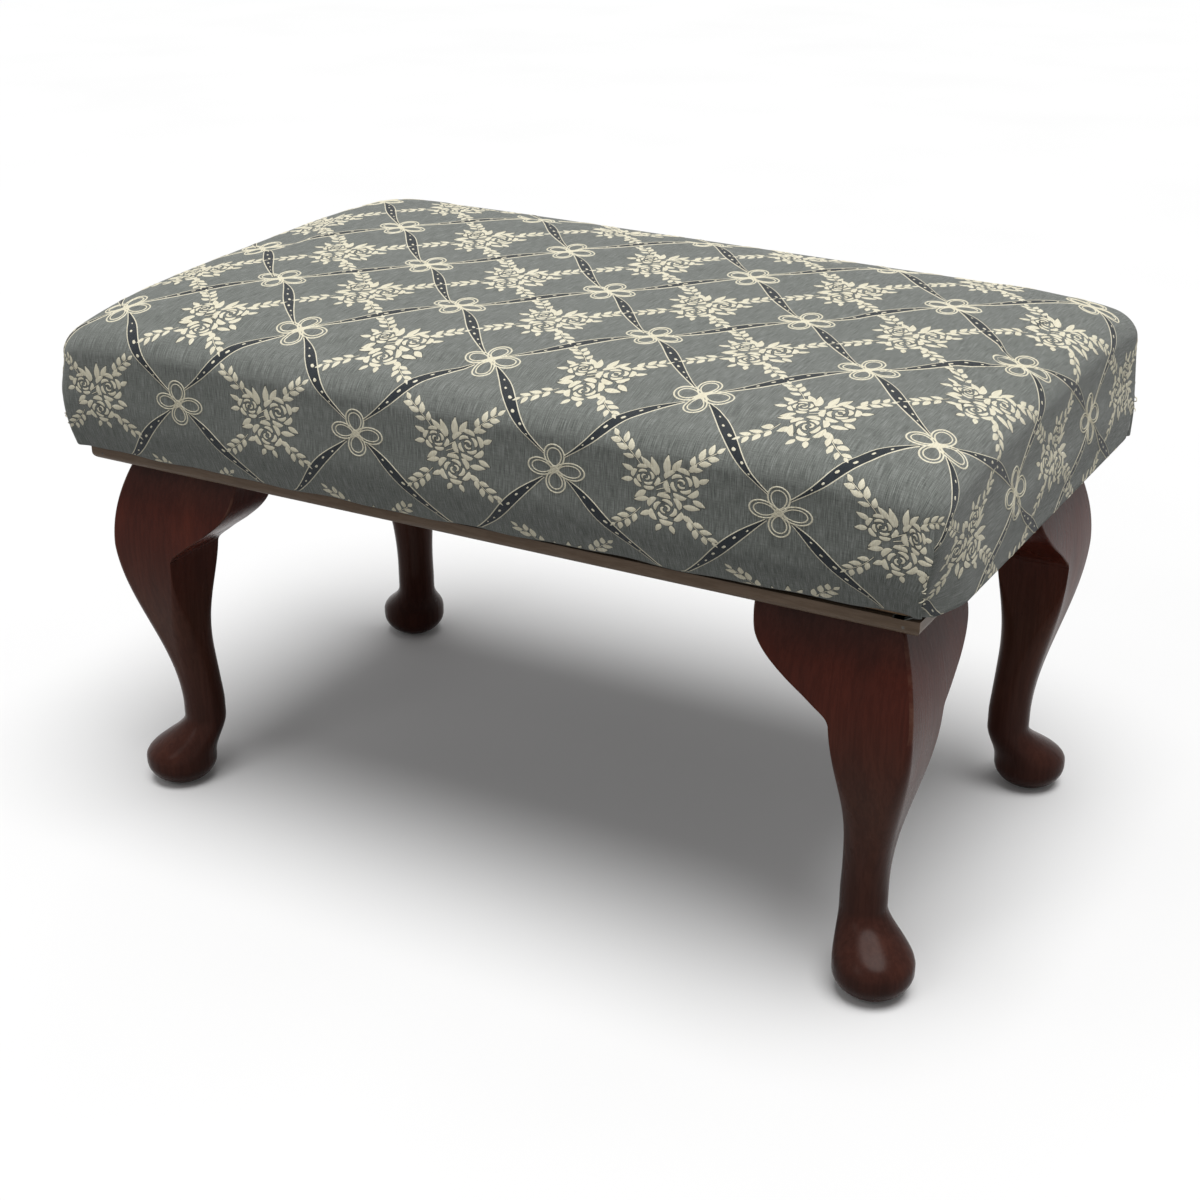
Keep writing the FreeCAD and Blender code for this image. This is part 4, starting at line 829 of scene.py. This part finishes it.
# %% Shared effects
thread_grain, enters, leaves = group_of("thread_grain", [("Vector", "NodeSocketVector"), ("Threads", "NodeSocketFloat")], [("Tone", "NodeSocketFloat"), ("Height", "NodeSocketFloat")])
parts = node(thread_grain, "ShaderNodeSeparateXYZ")
thread_grain.links.new(enters.outputs["Vector"], parts.inputs[0])
lines = []
for axis in ("X", "Y"):
    turns = math_node(thread_grain, "MULTIPLY", parts.outputs[axis], enters.outputs["Threads"])
    lines.append(math_node(thread_grain, "MULTIPLY_ADD", math_node(thread_grain, "SINE", turns), 0.5))
    lines[-1].node.inputs[2].default_value = 0.5
weave = math_node(thread_grain, "MULTIPLY", lines[0], lines[1])
warp = stretched_noise(thread_grain, enters.outputs["Vector"], (230.0, 9.0, 1.0), 4.0, 0.65)
weft = stretched_noise(thread_grain, enters.outputs["Vector"], (14.0, 230.0, 1.0), 3.0, 0.65)
streaks = math_node(thread_grain, "MULTIPLY_ADD", warp, 0.72)
thread_grain.links.new(math_node(thread_grain, "MULTIPLY", weft, 0.28), streaks.node.inputs[2])
thread_grain.links.new(streaks, leaves.inputs["Tone"])
height = math_node(thread_grain, "MULTIPLY_ADD", weave, 0.6)
thread_grain.links.new(math_node(thread_grain, "MULTIPLY", streaks, 0.8), height.node.inputs[2])
thread_grain.links.new(height, leaves.inputs["Height"])

wood_grain, enters, leaves = group_of("wood_grain", [("Vector", "NodeSocketVector"), ("Across", "NodeSocketVector")], [("Figure", "NodeSocketFloat"), ("Pores", "NodeSocketFloat")])
scaled = node(wood_grain, "ShaderNodeVectorMath", operation="MULTIPLY")
wood_grain.links.new(enters.outputs["Vector"], scaled.inputs[0])
wood_grain.links.new(enters.outputs["Across"], scaled.inputs[1])
figure = stretched_noise(wood_grain, scaled.outputs[0], (1.0, 1.0, 1.0), 5.0, 0.62)
pores = stretched_noise(wood_grain, scaled.outputs[0], (9.0, 9.0, 6.0), 3.0, 0.7)
wood_grain.links.new(figure, leaves.inputs["Figure"])
wood_grain.links.new(ramp(wood_grain, pores, [(0.44, (0, 0, 0)), (0.56, (1, 1, 1))]), leaves.inputs["Pores"])

# Pale rubbed edges that also paint the highlight along the arrises: the edge mask broken up by noise.
edge_wear_and_highlight, enters, leaves = group_of("edge_wear_and_highlight", [("Vector", "NodeSocketVector"), ("Scale", "NodeSocketFloat")], [("Worn and lit", "NodeSocketFloat")])
edge = node(edge_wear_and_highlight, "ShaderNodeAttribute", attribute_name="edge")
patch = node(edge_wear_and_highlight, "ShaderNodeTexNoise", Detail=4.0, Roughness=0.65)
edge_wear_and_highlight.links.new(enters.outputs["Vector"], patch.inputs["Vector"])
edge_wear_and_highlight.links.new(enters.outputs["Scale"], patch.inputs["Scale"])
worn_and_lit = math_node(edge_wear_and_highlight, "MULTIPLY", edge.outputs["Fac"], patch.outputs["Fac"])
edge_wear_and_highlight.links.new(ramp(edge_wear_and_highlight, worn_and_lit, [(0.42, (0, 0, 0)), (0.75, (1, 1, 1))]), leaves.inputs["Worn and lit"])
print("shared effects:", [g.name for g in bpy.data.node_groups])

# %% Cloth finishes
def cloth_finish(name, stops, threads, tint, rough, bump_depth, sheen=0.25, coordinates=cloth_place):
    """A woven finish: ramp of the streaky threads, slow fading over the piece, and a bump of the weave."""
    made, tree, shader = new_material(name)
    place = coordinates(tree)
    grain = place_group(tree, thread_grain, place, Threads=threads)
    colour = ramp(tree, grain.outputs["Tone"], stops)
    slow = stretched_noise(tree, object_place(tree), (9.0, 9.0, 9.0), 3.0)
    colour = mixed(tree, ramp(tree, slow, [(0.35, (0, 0, 0)), (0.7, (0.5, 0.5, 0.5))]), colour, tint, "MULTIPLY")
    tree.links.new(colour, shader.inputs["Base Color"])
    shader.inputs["Roughness"].default_value = rough
    shader.inputs["Specular IOR Level"].default_value = 0.2
    shader.inputs["Sheen Weight"].default_value = sheen
    shader.inputs["Sheen Roughness"].default_value = 0.4
    bumped(tree, grain.outputs["Height"], shader, bump_depth)
    return made

chambray = cloth_finish("chambray_ground", [(0.33, (0.075, 0.082, 0.074)), (0.5, (0.18, 0.191, 0.176)), (0.68, (0.35, 0.366, 0.345))], 1250.0, (0.86, 0.88, 0.86), 0.85, 0.00025)
cream_thread = cloth_finish("cream_thread", [(0.3, (0.60, 0.55, 0.41)), (0.5, (0.83, 0.78, 0.61)), (0.7, (0.93, 0.90, 0.76))], 900.0, (0.92, 0.91, 0.88), 0.65, 0.0003, 0.1)
ribbon_dark = cloth_finish("ribbon_thread", [(0.3, (0.010, 0.013, 0.016)), (0.7, (0.034, 0.041, 0.048))], 1250.0, (0.8, 0.85, 0.88), 0.75, 0.0002)
cover.data.materials.append(chambray)
ribbon_bands.data.materials.append(ribbon_dark)
for piece in (ribbon_edges, bow_loops, rose_sprays, leaf_garlands):
    piece.data.materials.append(cream_thread)
outline_dark = cloth_finish("outline_thread", [(0.3, (0.03, 0.033, 0.03)), (0.7, (0.085, 0.09, 0.083))], 1250.0, (0.8, 0.85, 0.85), 0.8, 0.0002)
for piece in (spray_outlines, garland_outlines):
    piece.data.materials.append(outline_dark)
print("cloth finishes:", chambray.name, cream_thread.name, ribbon_dark.name)

# %% Wood finishes
def wood_finish(name, stops, across, rough, coat, worn_and_highlight_colour=None, specular=0.3, pore_tint=(0.55, 0.5, 0.5), by_height=None):
    """A polished timber: ramp of the figure, dark pores, where asked a tint by height that is partly stain and partly
    painted reflection, and where asked pale wear with a painted highlight on the masked edges.
    """
    made, tree, shader = new_material(name)
    place = object_place(tree)
    grain = place_group(tree, wood_grain, place, Across=across)
    colour = ramp(tree, grain.outputs["Figure"], stops)
    colour = mixed(tree, grain.outputs["Pores"], mixed(tree, 1.0, colour, pore_tint, "MULTIPLY"), colour)
    # A ramp of height multiplies the colour: on the legs it is partly a stain and partly a painted reflection.
    if by_height:
        height = node(tree, "ShaderNodeSeparateXYZ")
        tree.links.new(place, height.inputs[0])
        colour = mixed(tree, 1.0, colour, ramp(tree, math_node(tree, "MULTIPLY", height.outputs["Z"], 4.0), by_height), "MULTIPLY")
    # Pale rubbed polish on the masked edges, which also paints the highlight along the arrises.
    if worn_and_highlight_colour:
        wear_and_highlight = place_group(tree, edge_wear_and_highlight, place, Scale=60.0)
        colour = mixed(tree, wear_and_highlight.outputs["Worn and lit"], colour, worn_and_highlight_colour)
    tree.links.new(colour, shader.inputs["Base Color"])
    gloss = ramp(tree, stretched_noise(tree, place, (30.0, 30.0, 12.0), 4.0), [(0.3, (rough - 0.08,) * 3), (0.7, (rough + 0.1,) * 3)])
    tree.links.new(gloss, shader.inputs["Roughness"])
    shader.inputs["Specular IOR Level"].default_value = specular
    shader.inputs["Specular Tint"].default_value = (1.0, 0.86, 0.78, 1.0)
    shader.inputs["Coat Weight"].default_value = coat
    shader.inputs["Coat Roughness"].default_value = 0.22
    bumped(tree, grain.outputs["Pores"], shader, 0.00005, 0.4)
    return made

# Tint by height: darker at the sole, browner on the shank, redder over the knee as a stain, and a grey-blue cast at the
# top that is painted reflection.
stain_and_reflection_by_height = [(0.0, (0.62, 0.62, 0.62)), (0.2, (0.75, 0.85, 0.85)), (0.45, (1.15, 1.38, 1.25)), (0.66, (1.18, 0.85, 0.75)), (0.74, (1.18, 0.8, 0.7)), (0.84, (0.9, 1.1, 1.25))]
# The pale edge colour paints the highlight along the arrises as well as the rubbed polish.
mahogany = wood_finish("polished_mahogany", [(0.3, (0.050, 0.0155, 0.0105)), (0.5, (0.070, 0.0205, 0.0138)), (0.72, (0.094, 0.028, 0.0175))], (45.0, 45.0, 4.0), 0.27, 0.1, (0.16, 0.075, 0.05), 0.04, (0.82, 0.78, 0.76), stain_and_reflection_by_height)
for piece in legs + ears:
    piece.data.materials.append(mahogany)
taupe_x = wood_finish("moulding_wood_long", [(0.3, (0.105, 0.070, 0.045)), (0.5, (0.14, 0.097, 0.065)), (0.7, (0.175, 0.125, 0.088))], (6.0, 80.0, 80.0), 0.42, 0.05, None, 0.2, (0.8, 0.78, 0.76))
taupe_y = wood_finish("moulding_wood_short", [(0.3, (0.105, 0.070, 0.045)), (0.5, (0.14, 0.097, 0.065)), (0.7, (0.175, 0.125, 0.088))], (80.0, 6.0, 80.0), 0.42, 0.05, None, 0.2, (0.8, 0.78, 0.76))
beech_x = wood_finish("frame_beech_long", [(0.3, (0.42, 0.28, 0.16)), (0.7, (0.6, 0.44, 0.28))], (6.0, 80.0, 80.0), 0.6, 0.0)
beech_y = wood_finish("frame_beech_short", [(0.3, (0.42, 0.28, 0.16)), (0.7, (0.6, 0.44, 0.28))], (80.0, 6.0, 80.0), 0.6, 0.0)

def refinish(name, finish):
    """Gives a node of the frame a new finish in its object's material slots."""
    thing = nodes[name]
    if not thing.material_slots:
        thing.data.materials.append(finish)
    for slot in thing.material_slots:
        slot.link = "OBJECT"
        slot.material = finish

for side in ("front", "back"):
    refinish(f"moulding_{side}", taupe_x)
    refinish(f"rail_{side}", beech_x)
for side in ("left", "right"):
    refinish(f"moulding_{side}", taupe_y)
    refinish(f"rail_{side}", beech_y)
for corner in ("front_left", "front_right", "back_left", "back_right"):
    refinish(f"corner_block_{corner}", beech_x)
for name in ("ear_dowels", "rail_dowels"):
    refinish(name, beech_y)
print("wood finishes placed")

# %% Metal, webbing and inner cloths
def metal_finish(name, colour, dark, rough):
    """Steel with a dull, slightly mottled skin."""
    made, tree, shader = new_material(name)
    spots = stretched_noise(tree, object_place(tree), (220.0, 220.0, 220.0), 4.0)
    tree.links.new(ramp(tree, spots, [(0.35, dark), (0.65, colour)]), shader.inputs["Base Color"])
    tree.links.new(ramp(tree, spots, [(0.3, (rough + 0.12,) * 3), (0.7, (rough - 0.06,) * 3)]), shader.inputs["Roughness"])
    shader.inputs["Metallic"].default_value = 1.0
    return made

steel = metal_finish("dull_steel", (0.42, 0.41, 0.4), (0.2, 0.18, 0.16), 0.38)
dark_steel = metal_finish("blued_steel", (0.10, 0.09, 0.08), (0.04, 0.035, 0.03), 0.45)
for name in ("leg_bolts", "leg_washers", "leg_nuts", "corner_block_screws", "moulding_screws", "cover_staples", "bottom_cloth_staples"):
    refinish(name, steel)
for name in ("webbing_tacks", "mitre_pins"):
    refinish(name, dark_steel)
jute = cloth_finish("jute_webbing", [(0.3, (0.28, 0.19, 0.1)), (0.7, (0.5, 0.38, 0.22))], 1.0, (0.85, 0.8, 0.75), 0.9, 0.0004, 0.1, object_place)
for name in ("webbing_lengthwise", "webbing_crosswise"):
    refinish(name, jute)
black_cotton = cloth_finish("bottom_cotton", [(0.3, (0.012, 0.012, 0.012)), (0.7, (0.03, 0.03, 0.03))], 1.0, (0.8, 0.8, 0.8), 0.9, 0.0002, 0.2, object_place)

# %% [markdown]
# ## The layers inside and the sheets
# Under the cover lie the wadding, a soft skin over top and sides, and the stuffing, a crowned block
# on the hessian. Both follow the same formula, set in by the layers above them. The hessian lies
# stretched over the webbing, and the black bottom cloth is stretched under the moulding, drawn
# taut at its staples and slack between them.

# %% Wadding, stuffing, hessian and bottom cloth
layer_columns = round_the_seat(60, 36, 5)
wadding = closed_block("wadding_layer", layer_columns, 12, np.linspace(0, SKIRT - 3.0, 22), 1.5, inner=6.8)
stuffing = closed_block("stuffing_block", layer_columns, 12, np.linspace(0, OVER + TOP_Z - SHOULDER - 268.0, 12), 7.3)

def stretched_sheet(name, half_x, half_y, z, sag, pucker, thick, spacing):
    """A sheet in one layer: it sags by two cosines and waves at its edges between the staples; Solidify gives its thickness."""
    x, y = np.meshgrid(np.linspace(-half_x, half_x, 161), np.linspace(-half_y, half_y, 81), indexing="ij")
    edge_x, edge_y = (half_x - np.abs(x)) / 12.0, (half_y - np.abs(y)) / 12.0
    wave = np.exp(-edge_y) * np.sin(math.pi * x / spacing) ** 2 + np.exp(-edge_x) * np.sin(math.pi * y / spacing) ** 2
    drop = sag * np.cos(x / half_x * math.pi / 2) * np.cos(y / half_y * math.pi / 2)
    made = make_mesh(name, np.stack([x, y, z - drop - pucker * wave], -1).reshape(-1, 3), grid_faces(161, 81), flip=True)
    solid = made.modifiers.new("thickness", "SOLIDIFY")
    solid.thickness, solid.offset = thick * MM, 0.0
    return made

hessian = stretched_sheet("hessian_sheet", 248.0, 148.0, 267.0, 0.0, 0.0, 0.7, 40.0)
bottom = stretched_sheet("bottom_cloth_sheet", 200.0, 100.0, 212.6, 1.6, 0.5, 0.7, 40.0)
fleece = cloth_finish("white_wadding", [(0.3, (0.62, 0.62, 0.6)), (0.7, (0.8, 0.8, 0.78))], 1.0, (0.92, 0.92, 0.9), 0.95, 0.0006, 0.4, object_place)
felt = cloth_finish("fibre_stuffing", [(0.3, (0.2, 0.16, 0.11)), (0.7, (0.42, 0.36, 0.27))], 1.0, (0.85, 0.82, 0.78), 0.95, 0.0008, 0.2, object_place)
for piece, finish, slot, node_name in ((wadding, fleece, "wadding", "wadding"), (stuffing, felt, "stuffing", "stuffing_pad"),
                                       (hessian, jute, "hessian", "hessian"), (bottom, black_cotton, "bottom_cloth", "bottom_cloth")):
    piece.data.materials.append(finish)
    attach(piece, "root")
    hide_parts(node_name)
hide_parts("cover")

# %% [markdown]
# ## The hand stitch in each corner fold
# Low in each fold a few short stitches of pale thread hold the two sheets together. A stitch is a
# small tube: an arc across the fold, thicker in its middle, both ends going into the cloth.

# %% Corner stitches
def stitches(name, lows):
    """Tubes with a half circle's rise across the fold at each height, eight points round and nine along."""
    u, turn = np.linspace(-1, 1, 9)[:, None], np.linspace(0, 2 * math.pi, 8, endpoint=False)[None]
    points, faces = [], []
    for sx in (-1, 1):
        for sy in (-1, 1):
            for low, slant in lows:
                at, out = skirt_point(False, 0.0, math.pi / 4, OVER + TOP_Z - SHOULDER - low)
                at, out = at * [sx, sy, 1], out * [sx, sy, 0]
                at[0] = drawn_corner(at[0], at[1], at[2])
                out /= np.linalg.norm(out)
                across = np.array([-out[1], out[0], slant])
                line = at + across * u * 1.5 + out * (1.1 + 1.0 * (1 - u * u))
                thick = 0.14 + 0.2 * (1 - u ** 4)
                ring = line[:, None, :] + thick[:, :, None] * (np.cos(turn)[..., None] * out + np.sin(turn)[..., None] * [0, 0, 1.0])
                faces.append(grid_faces(9, 8, closed=True, first=len(points) * 72))
                points.append(ring.reshape(-1, 3))
    made = make_mesh(name, np.concatenate(points), np.concatenate(faces))
    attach(made, "root")
    made.data.materials.append(cream_thread)
    return made

corner_stitches = stitches("corner_stitches", ((235.5, 0.6), (240.0, -0.4), (241.5, 0.5)))
set_uv(corner_stitches, "cloth", np.zeros((len(corner_stitches.data.vertices), 2)))
print("layers, sheets and stitches placed")

# %% [markdown]
# ## Floor and light
# The footstool stands on a plain pale floor under soft light. A broad sun from above right gives
# the top its brightness and leaves the front in soft shade, as in the photograph, and the sky
# fills the shadows. The floor and the sky look pale to the camera and in reflections, but the
# floor throws back little light, as a matt studio floor does.

# %% Floor, sky and sun
def seen_directly(tree):
    """1 for camera, glossy and transmission rays, else 0."""
    path = tree.nodes.new("ShaderNodeLightPath")
    seen = math_node(tree, "MAXIMUM", path.outputs["Is Camera Ray"], path.outputs["Is Glossy Ray"])
    return math_node(tree, "MAXIMUM", seen, path.outputs["Is Transmission Ray"])

floor = make_mesh("studio_floor", [[-9000, -9000, 0], [9000, -9000, 0], [9000, 9000, 0], [-9000, 9000, 0]], [[0, 1, 2, 3]])
floor_paint, tree, shader = new_material("floor_paint")
speck = ramp(tree, stretched_noise(tree, object_place(tree), (3.0, 3.0, 3.0), 2.0), [(0.3, (0.82, 0.82, 0.82)), (0.7, (0.84, 0.84, 0.84))])
tree.links.new(mixed(tree, seen_directly(tree), (0.25, 0.25, 0.25), speck), shader.inputs["Base Color"])
shader.inputs["Roughness"].default_value = 0.9
shader.inputs["Specular IOR Level"].default_value = 0.0
floor.data.materials.append(floor_paint)

sky = bpy.data.worlds.new("studio_sky")
bpy.context.scene.world = sky
sky.use_nodes = True
background = sky.node_tree.nodes["Background"]
background.inputs["Color"].default_value = (1.0, 1.0, 1.0, 1.0)
SKY_FILL = 0.33
strength = math_node(sky.node_tree, "MULTIPLY_ADD", seen_directly(sky.node_tree), 0.94 - SKY_FILL)
strength.node.inputs[2].default_value = SKY_FILL
sky.node_tree.links.new(strength, background.inputs["Strength"])

towards_sun = Vector((0.13, -0.1, 0.87))
sun_data = bpy.data.lights.new("soft_sun", "SUN")
sun_data.energy = math.pi * towards_sun.length
sun_data.angle = math.radians(40.0)
sun = bpy.data.objects.new("soft_sun", sun_data)
sun.rotation_euler = towards_sun.to_track_quat("Z", "Y").to_euler()
bpy.context.scene.collection.objects.link(sun)
window_data = bpy.data.lights.new("window", "AREA")
window_data.shape = "RECTANGLE"
window_data.size, window_data.size_y = 0.7, 1.1
window_data.energy = 4.0
window = bpy.data.objects.new("window", window_data)
window.location = (-0.5, -2.0, 1.7)
window.rotation_euler = (window.location - Vector((0.1, 0.0, 0.1))).to_track_quat("Z", "Y").to_euler()
bpy.context.scene.collection.objects.link(window)
bpy.context.scene.view_settings.view_transform = "Standard"
print("sun", round(sun_data.energy, 2), "sky", SKY_FILL)
